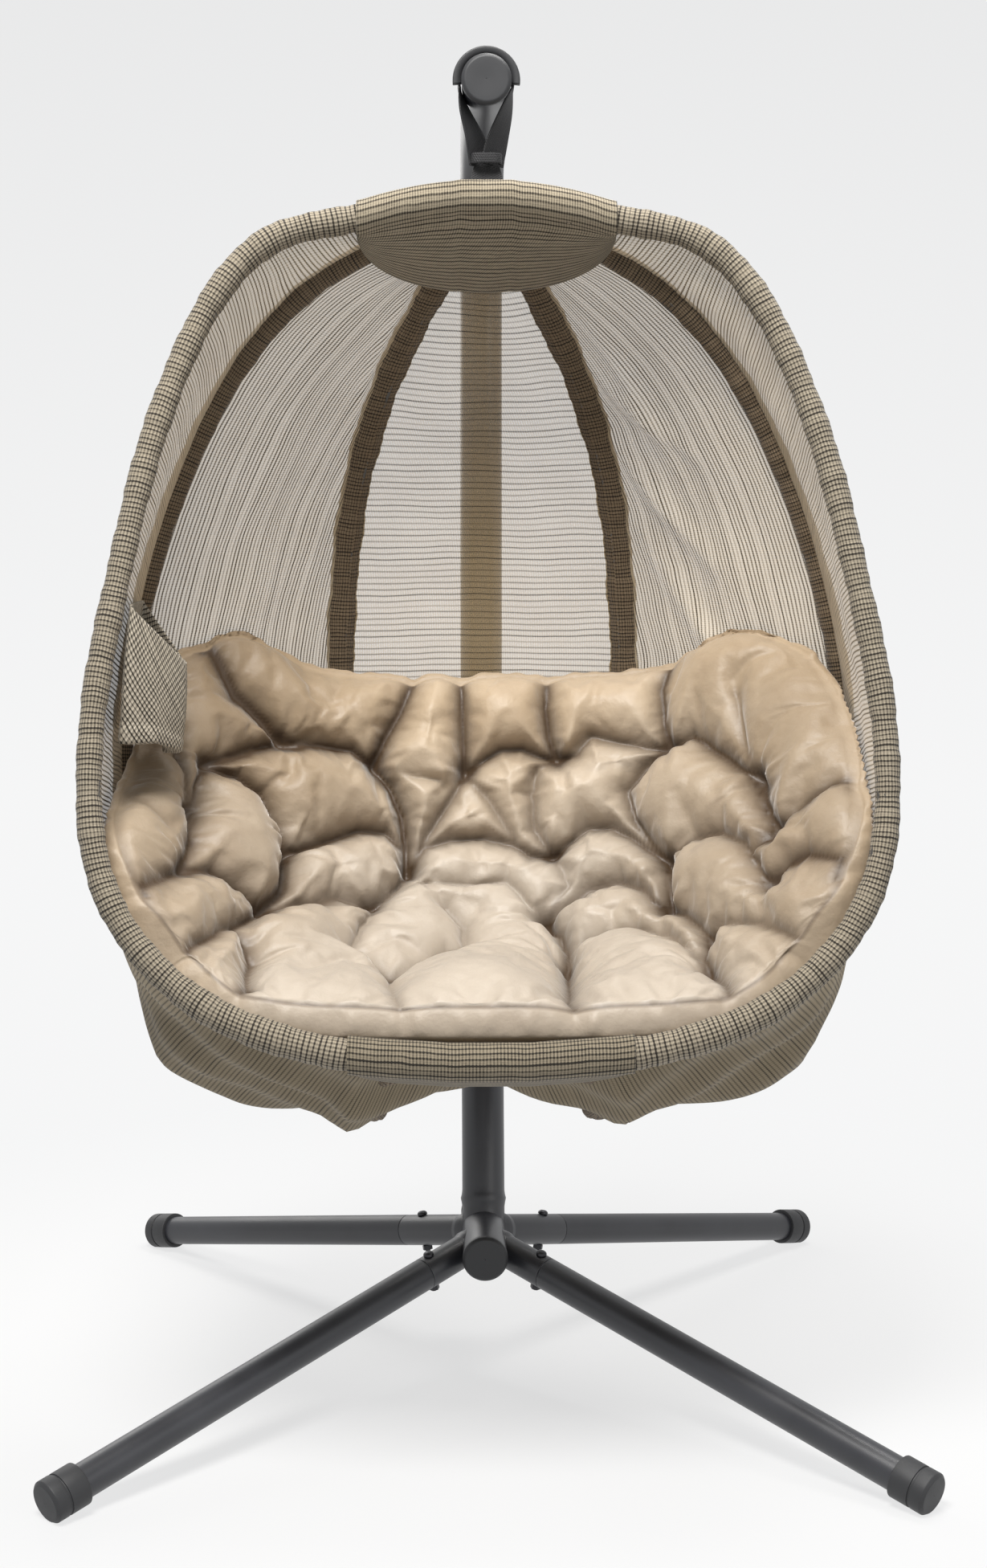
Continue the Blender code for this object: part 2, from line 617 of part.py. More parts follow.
def build_strap(webbing, loop_pivot, tail_pivot):
    """The loop over the arm, and the tail that holds the middle hoop's top."""
    inner = POST_RADIUS + STRAP_SLACK
    loop_end = STRAP_APEX_BELOW_ARM + STRAP_NECK
    mesh = webbing_loop("strap_loop", inner, inner + STRAP_THICKNESS, STRAP_APEX_BELOW_ARM,
                        STRAP_KNEE_WIDTH / 2, STRAP_NECK_WIDTH / 2, loop_end, STRAP_WIDTH)
    add_piece("strap_loop", mesh, webbing, loop_pivot, Matrix.Translation((0, SUSPENSION_Y, ARM_HEIGHT)))
    hold = RIB_TUBE / 2 + STRAP_SLACK
    neck_end = STRAP_END_Z - GAP - HANG_Z
    apex = (hold + neck_end) / 2
    neck = TAIL_NECK_THICKNESS / 2
    knee = neck + STRAP_THICKNESS / 2
    mesh = webbing_loop("strap_tail", hold, hold + STRAP_THICKNESS, apex, knee, neck, neck_end, TAIL_WIDTH)
    upside_down = Matrix.Rotation(pi / 2, 4, "Z") @ Matrix.Rotation(pi, 4, "Y")
    place = Matrix.Translation((0, SUSPENSION_Y, HANG_Z)) @ upside_down
    add_piece("strap_tail", mesh, webbing, tail_pivot, place)


# Chair

def hoop_sides(half):
    """Both sides of a hoop as full paths, each ending just short of the middle at crown and lip."""
    middle = GAP / 2
    path = [Vector((middle, half[0].y, half[0].z))] + half + [Vector((middle, half[-1].y, half[-1].z))]
    return (("right", path), ("left", mirrored(path)))


def build_hoop(name, half, tube, sides, material, pivot):
    """A hoop of bent tube in two halves."""
    for side, path in hoop_sides(half):
        label = name + "_" + side
        whole = (0, len(path) - 1)
        mesh = tube_shell(label, path, inward(path), whole, tube / 2 - HOOP_WALL, tube / 2, sides)
        add_piece(label, mesh, material, pivot, CHAIR_PLACE)


def build_sleeves(name, half, span, tube, sides, material, pivot):
    """The sewn sleeve on each side of a hoop, open at its ends."""
    bore = tube / 2 + GAP
    covered = (span[0] + 1, span[1] + 1)
    for side, path in hoop_sides(half):
        label = name + "_" + side
        mesh = tube_shell(label, path, inward(path), covered, bore, bore + SLEEVE_WALL, sides)
        add_piece(label, mesh, material, pivot, CHAIR_PLACE)


def seam_point(points, index, towards, radius, turn):
    """Where a panel meets a sleeve: square to the hoop, turned a little towards the chair's middle."""
    here = points[index]
    tangent = (points[min(index + 1, len(points) - 1)] - points[max(index - 1, 0)]).normalized()
    out = (towards - here).normalized() + turn * (CHAIR_HEART - here).normalized()
    out = (out - tangent * out.dot(tangent)).normalized()
    return here + out * (radius + SEAM_GAP)


def panel_rows(first, second, first_radius, second_radius, turn):
    """Rows of points between two hoops, held off their sleeves and bowed a little inwards."""
    rows = []
    for index, (a, b) in enumerate(zip(first, second)):
        near_lip = max(0.0, 1 - (len(first) - 1 - index) / LIP_SEAM_ROWS)
        start = seam_point(first, index, b, first_radius, turn * near_lip)
        finish = seam_point(second, index, a, second_radius, 0.0)
        run = (finish - start).normalized()
        row = []
        for column in range(PANEL_COLUMNS + 1):
            share = column / PANEL_COLUMNS
            point = start.lerp(finish, share)
            inwards = CHAIR_HEART - point
            inwards = (inwards - run * inwards.dot(run)).normalized()
            row.append(point + inwards * PANEL_SAG * 4 * share * (1 - share))
        rows.append(row)
    return rows


def build_panel(name, first, second, first_radius, second_radius, material, pivot, turn=0.0):
    """One mesh panel between two hoops."""
    rows = panel_rows(first, second, first_radius, second_radius, turn)
    piece = add_piece(name, sheet(name, rows), material, pivot, CHAIR_PLACE)
    thicken(piece, PANEL_THICKNESS)


def to_middle(half):
    """Half a hoop with its flat run on to the middle of the chair."""
    return half + [Vector((GAP / 2, half[-1].y, half[-1].z))]


def stretch(half, span, count):
    """Evenly numbered points on a stretch of half a hoop."""
    points = []
    for step in range(count):
        station = span[0] + (span[1] - span[0]) * step / (count - 1)
        low = min(int(station), len(half) - 2)
        points.append(half[low].lerp(half[low + 1], station - low))
    return points


def build_panels(rim, second, third, mesh_fabric, pivot):
    """Side panels from rim to middle hoop, back panels to the rear hoop, and the centre panel."""
    low, high = SIDE_PANEL_SPAN
    start, stop = BACK_PANEL_SPAN
    rear = stretch(third, BACK_PANEL_REAR_SPAN, stop - start + 1)
    for side, turn in (("right", list), ("left", mirrored)):
        outer = turn(to_middle(rim)[low:high + 1])
        inner = turn(to_middle(second)[low:high + 1])
        build_panel("mesh_panel_side_" + side, outer, inner, RIM_SLEEVE, RIB_SLEEVE, mesh_fabric, pivot,
                    LIP_SEAM_TURN)
        build_panel("mesh_panel_back_" + side, turn(second[start:stop + 1]), turn(rear),
                    RIB_SLEEVE, RIB_SLEEVE, mesh_fabric, pivot)
    low, high = CENTRE_PANEL_SPAN
    centre = third[low:high + 1]
    build_panel("mesh_panel_centre", centre, mirrored(centre), RIB_SLEEVE, RIB_SLEEVE, mesh_fabric, pivot)


def saddle_plate(name, first, last, half_width, cutters, material, pivot):
    """A plate under two parallel tubes, with a saddle cut for each tube."""
    (first_centre, first_radius), (last_centre, last_radius) = first, last
    along = (last_centre - first_centre).normalized()
    normal = Vector((1.0, 0.0, 0.0)).cross(along)
    if normal.z < 0:
        normal = -normal
    start = first_centre - normal * (first_radius - SADDLE_DEPTH) - along * PLATE_OVERHANG
    finish = last_centre - normal * (last_radius - SADDLE_DEPTH) + along * PLATE_OVERHANG
    bm = bmesh.new()
    corners = [start, finish, finish - normal * PLATE_THICKNESS, start - normal * PLATE_THICKNESS]
    face = bm.faces.new([bm.verts.new(c - Vector((half_width, 0, 0))) for c in corners])
    grown = bmesh.ops.extrude_face_region(bm, geom=[face])
    moved = [item for item in grown["geom"] if isinstance(item, bmesh.types.BMVert)]
    bmesh.ops.translate(bm, verts=moved, vec=(2 * half_width, 0, 0))
    plate = add_piece(name, finish_mesh(name, bm), material, pivot, CHAIR_PLACE)
    for tag, centre, radius in cutters:
        along_x = CHAIR_PLACE @ Matrix.Translation(centre) @ Matrix.Rotation(pi / 2, 4, "Y")
        reach = radius / cos(pi / ROUND_SIDES)
        cut(plate, cylinder_cutter(name + "_" + tag, reach, -2 * half_width, 2 * half_width, along_x))


def build_brackets(steel, pivot):
    """The plates that hold the hoops together at the crown and behind the lip."""
    rim_top = Vector((0, CROWN_Y, CROWN_Z))
    second_top = Vector((0, SUSPENSION_Y, SECOND_TOP_Z))
    third_top = Vector((0, *THIRD_TOP))
    strap_room = RIB_TUBE / 2 + STRAP_SLACK + STRAP_THICKNESS + 2 * GAP
    cutters = (("rim", rim_top, RIM_TUBE / 2 + GAP), ("strap", second_top, strap_room),
               ("rear", third_top, RIB_TUBE / 2 + GAP))
    first = (rim_top, RIM_TUBE / 2)
    second = (third_top, RIB_TUBE / 2)
    saddle_plate("crown_plate", first, second, CROWN_PLATE_WIDTH / 2, cutters, steel, pivot)
    lip = Vector((0, LIP_Y, LIP_Z))
    rear_lip = Vector((0, *THIRD_BOTTOM))
    cutters = (("rim", lip, RIM_TUBE / 2 + GAP), ("rear", rear_lip, RIB_TUBE / 2 + GAP))
    first = (lip, RIM_TUBE / 2)
    saddle_plate("lip_plate", first, (rear_lip, RIB_TUBE / 2), LIP_PLATE_WIDTH / 2, cutters, steel, pivot)


def rim_centre_at(rim, x):
    """The rim hoop's centre at a given distance from the middle, near the crown or the lip."""
    x = abs(x)
    if x <= rim[0].x:
        return rim[0].y, rim[0].z
    for a, b in zip(rim, rim[1:]):
        if (a.x - x) * (b.x - x) <= 0:
            share = (x - a.x) / (b.x - a.x)
            return a.y + (b.y - a.y) * share, a.z + (b.z - a.z) * share
    return rim[-1].y, rim[-1].z


def build_crown_patch(rim, fabric, pivot):
    """The reinforcing patch that wraps the rim at the crown and lies under the hoops' tops."""
    radius = RIM_SLEEVE + PATCH_STANDOFF
    rows = []
    for column in range(CROWN_PATCH_COLUMNS + 1):
        x = CROWN_PATCH_HALF * (2 * column / CROWN_PATCH_COLUMNS - 1)
        y, z = rim_centre_at(rim, x)
        row = [Vector((x, y + radius * cos(a), z + radius * sin(a))) for a in CROWN_WRAP_ANGLES]
        share = sqrt(max(0.0, 1 - (x / CROWN_PATCH_HALF) ** 2))
        under = row[-1]
        length = CROWN_PATCH_CORNER + (1 - CROWN_PATCH_CORNER) * share
        for step in range(1, CROWN_PATCH_TAIL_STEPS + 1):
            part = length * step / CROWN_PATCH_TAIL_STEPS
            drop = CROWN_PATCH_DROP * part ** CROWN_PATCH_FALL
            row.append(Vector((x, under.y + CROWN_PATCH_REACH * part, under.z - drop)))
        rows.append(row)
    patch = add_piece("crown_patch", sheet("crown_patch", rows), fabric, pivot, CHAIR_PLACE)
    thicken(patch, PATCH_THICKNESS)


def build_lip_patch(rim, fabric, pivot):
    """The patch that wraps the rim at the lip and the rear hoop's front."""
    radius = RIM_SLEEVE + PATCH_STANDOFF
    rows = []
    lower_rim = list(reversed(rim))
    under = THIRD_BOTTOM[1] - RIB_TUBE / 2 + SADDLE_DEPTH - PLATE_THICKNESS - LIP_PATCH_CLEARANCE
    for column in range(LIP_PATCH_COLUMNS + 1):
        x = LIP_PATCH_HALF * (2 * column / LIP_PATCH_COLUMNS - 1)
        y, z = rim_centre_at(lower_rim, x)
        row = [Vector((x, y + radius * cos(a), z + radius * sin(a))) for a in LIP_WRAP_ANGLES]
        row.append(Vector((x, LIP_PATCH_REAR_Y, under + z - LIP_Z)))
        rows.append(row)
    patch = add_piece("lip_patch", sheet("lip_patch", rows), fabric, pivot, CHAIR_PLACE)
    thicken(patch, PATCH_THICKNESS)


def build_pocket(fabric, pivot):
    """An open-topped pouch on the -X side panel."""
    bm = bmesh.new()
    plan = [Vector((x, y, 0)) for x, y in POCKET_PLAN]
    middle = sum(plan, Vector()) / len(plan)
    tops = (POCKET_TOP_RIM, POCKET_TOP_INNER, POCKET_TOP_INNER, POCKET_TOP_RIM)
    inset = []
    for point in plan:
        run = middle - point
        inset.append(point + run.normalized() * POCKET_CORNER_INSET)
    up = Vector((0, 0, 1))
    outer_low = [bm.verts.new(p + up * POCKET_BOTTOM) for p in plan]
    outer_top = [bm.verts.new(p + up * t) for p, t in zip(plan, tops)]
    inner_top = [bm.verts.new(p + up * t) for p, t in zip(inset, tops)]
    inner_low = [bm.verts.new(p + up * (POCKET_BOTTOM + POCKET_WALL)) for p in inset]
    for low, high in ((outer_low, outer_top), (outer_top, inner_top), (inner_top, inner_low)):
        for step in range(len(plan)):
            following = (step + 1) % len(plan)
            bm.faces.new((low[step], low[following], high[following], high[step]))
    bm.faces.new(outer_low)
    bm.faces.new(inner_low)
    add_piece("side_pocket", finish_mesh("side_pocket", bm), fabric, pivot, CHAIR_PLACE)


def cushion_outline(row, column):
    """Sideways and lengthwise place of a grid point on the pad, and how near its edge it lies."""
    a = 2 * column / CUSHION_COLUMNS - 1
    b = 2 * row / CUSHION_ROWS - 1
    corner = 1 - (1 - CUSHION_BACK_CORNER) * max(0.0, b)
    u = a * sqrt(1 - corner * b * b / 2)
    v = b * sqrt(1 - corner * a * a / 2) + CUSHION_LOBE * max(0.0, b) ** 2 * sin(pi * a) ** 2
    return u, v, min(1.0, sqrt(a * a + b * b - a * a * b * b))


def build_cushion(satin, pivot):
    """A round pad pressed into the seat: crowned, thin at its edge and drawn in at its tufts."""
    steps = CUSHION_LINE_STEPS
    line = spline([Vector((0, y, z)) for y, z in CUSHION_LINE], steps)
    tufts = [cushion_outline(row, column)[:2] for row, columns in TUFT_ROWS for column in columns]

    def bowl(u, v):
        share = (v + 1) / 2
        place = min(steps - 1, int(share * steps))
        centre = line[place].lerp(line[place + 1], share * steps - place)
        tangent = (line[place + 1] - line[place]).normalized()
        normal = Vector((1.0, 0.0, 0.0)).cross(tangent)
        if share < CUSHION_SEAT_SHARE:
            blend = share / CUSHION_SEAT_SHARE
            bend = CUSHION_FRONT_RADIUS + (CUSHION_SEAT_RADIUS - CUSHION_FRONT_RADIUS) * blend
        else:
            blend = (share - CUSHION_SEAT_SHARE) / (1 - CUSHION_SEAT_SHARE)
            bend = CUSHION_SEAT_RADIUS + (CUSHION_BACK_RADIUS - CUSHION_SEAT_RADIUS) * blend
        angle = CUSHION_HALF_WIDTH * u / bend
        point = centre + Vector((1.0, 0.0, 0.0)) * (bend * sin(angle)) + normal * (bend * (1 - cos(angle)))
        facing = normal * cos(angle) - Vector((1.0, 0.0, 0.0)) * sin(angle)
        return point, facing

    def puff(u, v, edge):
        thinning = 1 - CUSHION_FRONT_THINNING * max(0.0, -v)
        height = CUSHION_HALF_THICKNESS * thinning * sqrt(max(0.0, 1 - edge ** CUSHION_EDGE_POWER))
        dip = 0.0
        for a, b in tufts:
            reach = hypot((u - a) * CUSHION_HALF_WIDTH, (v - b) * CUSHION_HALF_WIDTH)
            dip = max(dip, max(0.0, 1 - reach / TUFT_RADIUS) ** TUFT_SHARPNESS)
        return height, TUFT_DEPTH * dip

    bm = bmesh.new()
    top = {}
    under = {}
    for row in range(CUSHION_ROWS + 1):
        for column in range(CUSHION_COLUMNS + 1):
            u, v, edge = cushion_outline(row, column)
            point, facing = bowl(u, v)
            height, dip = puff(u, v, edge)
            rim = row in (0, CUSHION_ROWS) or column in (0, CUSHION_COLUMNS)
            if rim:
                top[row, column] = under[row, column] = bm.verts.new(point)
            else:
                top[row, column] = bm.verts.new(point + facing * (height - dip))
                under[row, column] = bm.verts.new(point - facing * height)
    for row in range(CUSHION_ROWS):
        for column in range(CUSHION_COLUMNS):
            keys = ((row, column), (row, column + 1), (row + 1, column + 1), (row + 1, column))
            bm.faces.new([top[key] for key in keys])
            bm.faces.new([under[key] for key in reversed(keys)])
    add_piece("seat_cushion", finish_mesh("seat_cushion", bm, CUSHION_SMOOTH), satin, pivot, CHAIR_PLACE)


def build_chair(steel, sleeve_fabric, mesh_fabric, satin, pivot):
    """Hoops, sleeves, panels, plates, patches, pocket and cushion."""
    rim = rim_half()
    second = second_half()
    third = third_half()
    build_hoop("rim_hoop", rim, RIM_TUBE, RIM_SIDES, steel, pivot)
    build_hoop("middle_hoop", second, RIB_TUBE, RIB_SIDES, steel, pivot)
    build_hoop("rear_hoop", third, RIB_TUBE, RIB_SIDES, steel, pivot)
    build_sleeves("rim_sleeve", rim, RIM_SLEEVE_SPAN, RIM_TUBE, RIM_SIDES, sleeve_fabric, pivot)
    build_sleeves("middle_sleeve", second, SECOND_SLEEVE_SPAN, RIB_TUBE, RIB_SIDES, sleeve_fabric, pivot)
    build_sleeves("rear_sleeve", third, THIRD_SLEEVE_SPAN, RIB_TUBE, RIB_SIDES, sleeve_fabric, pivot)
    build_panels(rim, second, third, mesh_fabric, pivot)
    build_brackets(steel, pivot)
    build_crown_patch(rim, sleeve_fabric, pivot)
    build_lip_patch(rim, sleeve_fabric, pivot)
    build_pocket(sleeve_fabric, pivot)
    build_cushion(satin, pivot)


def build_stand(paint, plastic, zinc, pivot):
    """Hub, legs, feet, post, arm and strap stop."""
    hub_clearance = build_hub(paint, plastic, pivot)
    below = Matrix.Translation((0, 0, -FOOT_DIAMETER))
    floor = cylinder_cutter("floor", FOOT_REACH_X + FOOT_REACH_Y, 0, FOOT_DIAMETER, below)
    frames = leg_frames()
    for end, side, place, length in frames:
        build_leg(end, side, place, length, paint, plastic, zinc, pivot, hub_clearance, floor)
    rear_legs = [(side, place) for end, side, place, _ in frames if end == "rear"]
    build_post(paint, plastic, zinc, pivot, hub_clearance, rear_legs)
    build_collar(paint, pivot)


def main():
    """Builds the stand, the strap and the chair."""
    clear_scene()
    paint = make_material("black_paint", (0.018, 0.018, 0.020), 0.38, 0.2)
    plastic = make_material("black_plastic", (0.030, 0.030, 0.032), 0.50, 0.0)
    zinc = make_material("dark_zinc", (0.050, 0.050, 0.055), 0.40, 0.8)
    steel = make_material("tube_steel", (0.080, 0.075, 0.070), 0.45, 0.6)
    webbing = make_material("webbing", (0.015, 0.015, 0.016), 0.80, 0.0)
    sleeve_fabric = make_material("sleeve_fabric", (0.190, 0.155, 0.110), 0.85, 0.0)
    mesh_fabric = make_material("mesh_fabric", (0.420, 0.360, 0.280), 0.80, 0.0)
    satin = make_material("cushion_satin", (0.560, 0.420, 0.260), 0.45, 0.0)
    stand = make_pivot("stand_root", (0, 0, 0))
    loop_pivot = make_pivot("side_swing_pivot", (0, SUSPENSION_Y, ARM_HEIGHT))
    tail_pivot = make_pivot("twist_pivot", (0, SUSPENSION_Y, STRAP_END_Z))
    chair_pivot = make_pivot("fore_aft_pivot", (0, SUSPENSION_Y, HANG_Z))
    build_stand(paint, plastic, zinc, stand)
    build_strap(webbing, loop_pivot, tail_pivot)
    build_chair(steel, sleeve_fabric, mesh_fabric, satin, chair_pivot)


main()
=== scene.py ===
"""Hanging egg chair with its stand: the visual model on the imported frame."""

from math import cos, hypot, pi, radians, sin, sqrt

import bmesh
import bpy
import numpy as np
from mathutils import Matrix, Vector
from mathutils.kdtree import KDTree


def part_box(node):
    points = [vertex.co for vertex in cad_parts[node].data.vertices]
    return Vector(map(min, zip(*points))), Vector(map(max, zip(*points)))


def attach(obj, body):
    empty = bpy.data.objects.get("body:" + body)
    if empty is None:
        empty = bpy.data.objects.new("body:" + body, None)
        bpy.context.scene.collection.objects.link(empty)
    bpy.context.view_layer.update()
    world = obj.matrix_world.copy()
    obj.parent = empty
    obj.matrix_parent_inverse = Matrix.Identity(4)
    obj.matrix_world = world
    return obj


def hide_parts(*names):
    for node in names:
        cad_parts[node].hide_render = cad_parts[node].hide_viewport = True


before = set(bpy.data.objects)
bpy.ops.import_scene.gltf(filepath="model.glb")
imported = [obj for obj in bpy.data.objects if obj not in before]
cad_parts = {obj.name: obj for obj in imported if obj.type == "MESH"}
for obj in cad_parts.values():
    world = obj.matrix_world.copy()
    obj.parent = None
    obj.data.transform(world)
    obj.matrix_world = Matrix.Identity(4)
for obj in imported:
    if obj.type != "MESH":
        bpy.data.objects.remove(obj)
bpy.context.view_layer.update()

# Hoops, as in the model: (x, z) or (x, y, z) points of the +X half from crown to lip
CROWN_FLAT, LIP_FLAT = 0.034, 0.050
CROWN, LIP = (-0.235, 1.622), (-0.525, 0.568)
HANG = (-0.195, 1.611)
REAR_TOP, MIDDLE_BOTTOM, REAR_BOTTOM = (-0.105, 1.575), (-0.120, 0.478), (-0.465, 0.545)
RIM_HALF = ((0.155, 1.597), (0.274, 1.566), (0.352, 1.480), (0.415, 1.327), (0.457, 1.149),
            (0.486, 0.970), (0.481, 0.819), (0.433, 0.712), (0.337, 0.629), (0.201, 0.582))
MIDDLE_HALF = ((0.141, -0.185, 1.566), (0.250, -0.172, 1.497), (0.348, -0.156, 1.378),
               (0.431, -0.143, 1.197), (0.480, -0.140, 1.000), (0.487, -0.145, 0.840),
               (0.470, -0.155, 0.660), (0.425, -0.162, 0.535), (0.330, -0.160, 0.475),
               (0.170, -0.135, 0.474))
REAR_HALF = ((0.065, -0.062, 1.533), (0.134, 0.014, 1.407), (0.182, 0.068, 1.255), (0.203, 0.098, 1.080),
             (0.206, 0.095, 0.900), (0.203, 0.060, 0.740), (0.196, -0.005, 0.590), (0.172, -0.073, 0.464),
             (0.156, -0.148, 0.417), (0.152, -0.270, 0.450), (0.142, -0.385, 0.512), (0.112, -0.450, 0.539))
FINE = 8
STATIONS = 18 * FINE
BEND_SHARE = 0.16
HEART = np.array((0.0, -0.195, 1.095))
RIM_RADIUS = 0.0171
RIB_RADIUS = 0.0156

# Stand, as in the model
HUB_HEIGHT, HUB_RADIUS, HUB_LENGTH = 0.187, 0.031, 0.210
LEG_RADIUS, LEG_START_Y, FOOT_REACH = 0.0225, 0.019, (0.540, 0.531)
FOOT_RADIUS, FOOT_FLAT = 0.028, 0.002
ARM_HEIGHT, ARM_END_Y = 1.768, -0.232
POST_RADIUS, POST_JOINT = 0.031, 0.600
POST_CORNERS = ((0.030, 0.187), (0.203, 0.770), (0.235, 1.768), (-0.232, 1.768))
POST_BENDS = (0.90, 0.28)
COLLAR_RADIUS = 0.043

# Light: lamps as name, place, aim, size and power
WORLD_LIGHT = 0.22
FAR_FLOOR, SKY = (0.920, 0.922, 0.925), (0.810, 0.812, 0.815)
LAMPS = (("key", (-0.6, -2.1, 4.1), (0.0, -0.25, 0.8), 1.3, 205.0),
         ("fill", (2.6, -2.8, 1.8), (0.0, -0.1, 0.9), 2.2, 20.0),
         ("top", (0.7, 0.4, 3.9), (0.0, -0.1, 0.9), 1.4, 70.0),
         ("rear", (-1.6, 2.8, 2.2), (0.0, 0.0, 1.0), 2.0, 30.0))
LAMP_COLOUR = (1.0, 0.985, 0.96)

# Camera: pixels of the photograph, millimetres of sensor, metres and degrees
FOCAL_PIXELS, IMAGE_HEIGHT, SENSOR = 2800.0, 1952.0, 36.0
CAMERA_PLACE, CAMERA_DOWN, CAMERA_TURN = (-0.054, -3.1647, 1.208), 6.57, -1.23


# Shapes

def unit(a):
    """Vectors made one long."""
    return a / np.maximum(np.linalg.norm(a, axis=-1, keepdims=True), 1e-12)


def spline(points, steps, bend_share=0.0):
    """Points on a smooth curve through the given ones, closer where it bends."""
    points = [np.array(p, float) for p in points]
    padded = [2 * points[0] - points[1]] + points + [2 * points[-1] - points[-2]]
    fine = []
    for a, b, c, d in zip(padded, padded[1:], padded[2:], padded[3:]):
        for t in np.arange(24) / 24:
            fine.append(0.5 * (2 * b + (c - a) * t + (2 * a - 5 * b + 4 * c - d) * t ** 2
                               + (3 * b - a - 3 * c + d) * t ** 3))
    fine = np.array(fine + [points[-1]])
    steps_between = np.diff(fine, axis=0)
    weights = np.linalg.norm(steps_between, axis=1)
    turns = np.clip((unit(steps_between[1:]) * unit(steps_between[:-1])).sum(1), -1, 1)
    weights[1:] += bend_share * np.arccos(turns)
    place = np.concatenate([[0], np.cumsum(weights)])
    return resample(fine, place, np.linspace(0, place[-1], steps + 1))


def resample(points, place, targets):
    """Points of a polyline at the given places along it."""
    return np.stack([np.interp(targets, place, points[:, k]) for k in range(points.shape[1])], 1)


def along(points):
    """Distance along a polyline."""
    return np.concatenate([[0], np.cumsum(np.linalg.norm(np.diff(points, axis=0), axis=1))])


def even(points, spacing):
    """A polyline cut into even steps."""
    place = along(points)
    return resample(points, place, np.linspace(0, place[-1], max(3, int(place[-1] / spacing))))


def tangents(path, closed=False):
    """Unit directions along a path."""
    if closed:
        return unit(np.roll(path, -1, 0) - np.roll(path, 1, 0))
    return unit(np.gradient(path, axis=0))


def grid_mesh(name, points, uv, wrap=(False, False)):
    """A mesh from a grid of points with metric UVs; wrap closes it along or across."""
    rows, columns = points.shape[:2]
    i, j = np.meshgrid(np.arange(rows - 1 + wrap[0]), np.arange(columns - 1 + wrap[1]), indexing="ij")
    row, next_row, j2 = i * columns, (i + 1) % rows * columns, (j + 1) % columns
    faces = np.stack([row + j, row + j2, next_row + j2, next_row + j], -1).reshape(-1, 4)
    corners = np.stack([uv[i, j], uv[i, j + 1], uv[i + 1, j + 1], uv[i + 1, j]], 2).reshape(-1, 2)
    return build_mesh(name, points.reshape(-1, 3), faces, corners)


def build_mesh(name, points, faces, corners=None):
    """A smooth mesh from points, four-cornered faces and a UV for each corner."""
    mesh = bpy.data.meshes.new(name)
    mesh.from_pydata(np.asarray(points).tolist(), [], np.asarray(faces).tolist())
    if corners is not None:
        layer = mesh.uv_layers.new(name="metres")
        layer.data.foreach_set("uv", np.asarray(corners, np.float32).ravel())
    mesh.shade_smooth()
    return mesh


def grid_faces(rows, columns):
    """Faces of an open grid of points."""
    i, j = np.meshgrid(np.arange(rows - 1), np.arange(columns - 1), indexing="ij")
    first = i * columns + j
    return np.stack([first, first + 1, first + columns + 1, first + columns], -1).reshape(-1, 4)


def add(name, mesh, body, material, nodes=()):
    """Links a piece, which rides on a body and stands for CAD nodes, or else for the one of its own name."""
    piece = bpy.data.objects.new(name, mesh)
    bpy.context.scene.collection.objects.link(piece)
    mesh.materials.append(material)
    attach(piece, body)
    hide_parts(*(nodes or (name,)))
    return piece


def sweep(path, towards, thick, wide, sides, closed=False):
    """Rings round a path: half thick along towards, half wide across it, each one number or one per ring."""
    direction = tangents(path, closed)
    side = unit(towards - direction * (towards * direction).sum(1, keepdims=True))
    other = np.cross(direction, side)
    turn = 2 * pi * np.arange(sides) / sides
    sizes = [np.reshape(size, (-1, 1)) if np.ndim(size) < 2 else size for size in (thick, wide)]
    thick, wide = (np.broadcast_to(size, (len(path), sides)) for size in sizes)
    return (path[:, None] + side[:, None] * (thick * np.cos(turn))[..., None]
            + other[:, None] * (wide * np.sin(turn))[..., None])


def tube(name, path, towards, thick, wide, sides, closed=False):
    """A swept tube with metric UVs: u round it, v along it."""
    rings = sweep(path, towards, thick, wide, sides, closed)
    around = 2 * pi * (np.mean(thick) + np.mean(wide)) / 2
    place = along(np.vstack([path, path[:1]]) if closed else path)
    u, v = np.meshgrid(np.linspace(0, around, sides + 1), place)
    return grid_mesh(name, rings, np.stack([u, v], -1), (closed, True))


def rounded(profile, radius, steps=4):
    """A profile whose inner corners are rounded."""
    points = [np.array(profile[0], float)]
    for before, corner, after in zip(profile, profile[1:], profile[2:]):
        before, corner, after = (np.array(p, float) for p in (before, corner, after))
        reach = min(radius, 0.45 * np.linalg.norm(before - corner), 0.45 * np.linalg.norm(after - corner))
        start = corner + unit(before - corner) * reach
        finish = corner + unit(after - corner) * reach
        for step in range(steps + 1):
            t = step / steps
            points.append((1 - t) ** 2 * start + 2 * t * (1 - t) * corner + t ** 2 * finish)
    points.append(np.array(profile[-1], float))
    return np.array(points)


def lathe(name, profile, place, sides, round_by):
    """A piece turned from a (radius, height) profile with rounded corners, placed by a matrix."""
    profile = rounded(profile, round_by)
    radius, height = profile[:, :1], profile[:, 1:]
    turn = 2 * pi * np.arange(sides) / sides
    rings = np.stack([radius * np.cos(turn), radius * np.sin(turn), np.repeat(height, sides, 1)], -1)
    u, v = np.meshgrid(np.linspace(0, 2 * pi * radius.max(), sides + 1), along(profile))
    mesh = grid_mesh(name, rings, np.stack([u, v], -1), (False, True))
    weld(mesh)
    mesh.transform(place)
    mesh.set_sharp_from_angle(angle=radians(50))
    return mesh


def weld(mesh, close=False):
    """Joins points that lie on each other, and may close open ends."""
    work = bmesh.new()
    work.from_mesh(mesh)
    bmesh.ops.remove_doubles(work, verts=work.verts, dist=1e-6)
    if close:
        bmesh.ops.holes_fill(work, edges=work.edges)
    work.to_mesh(mesh)
    work.free()


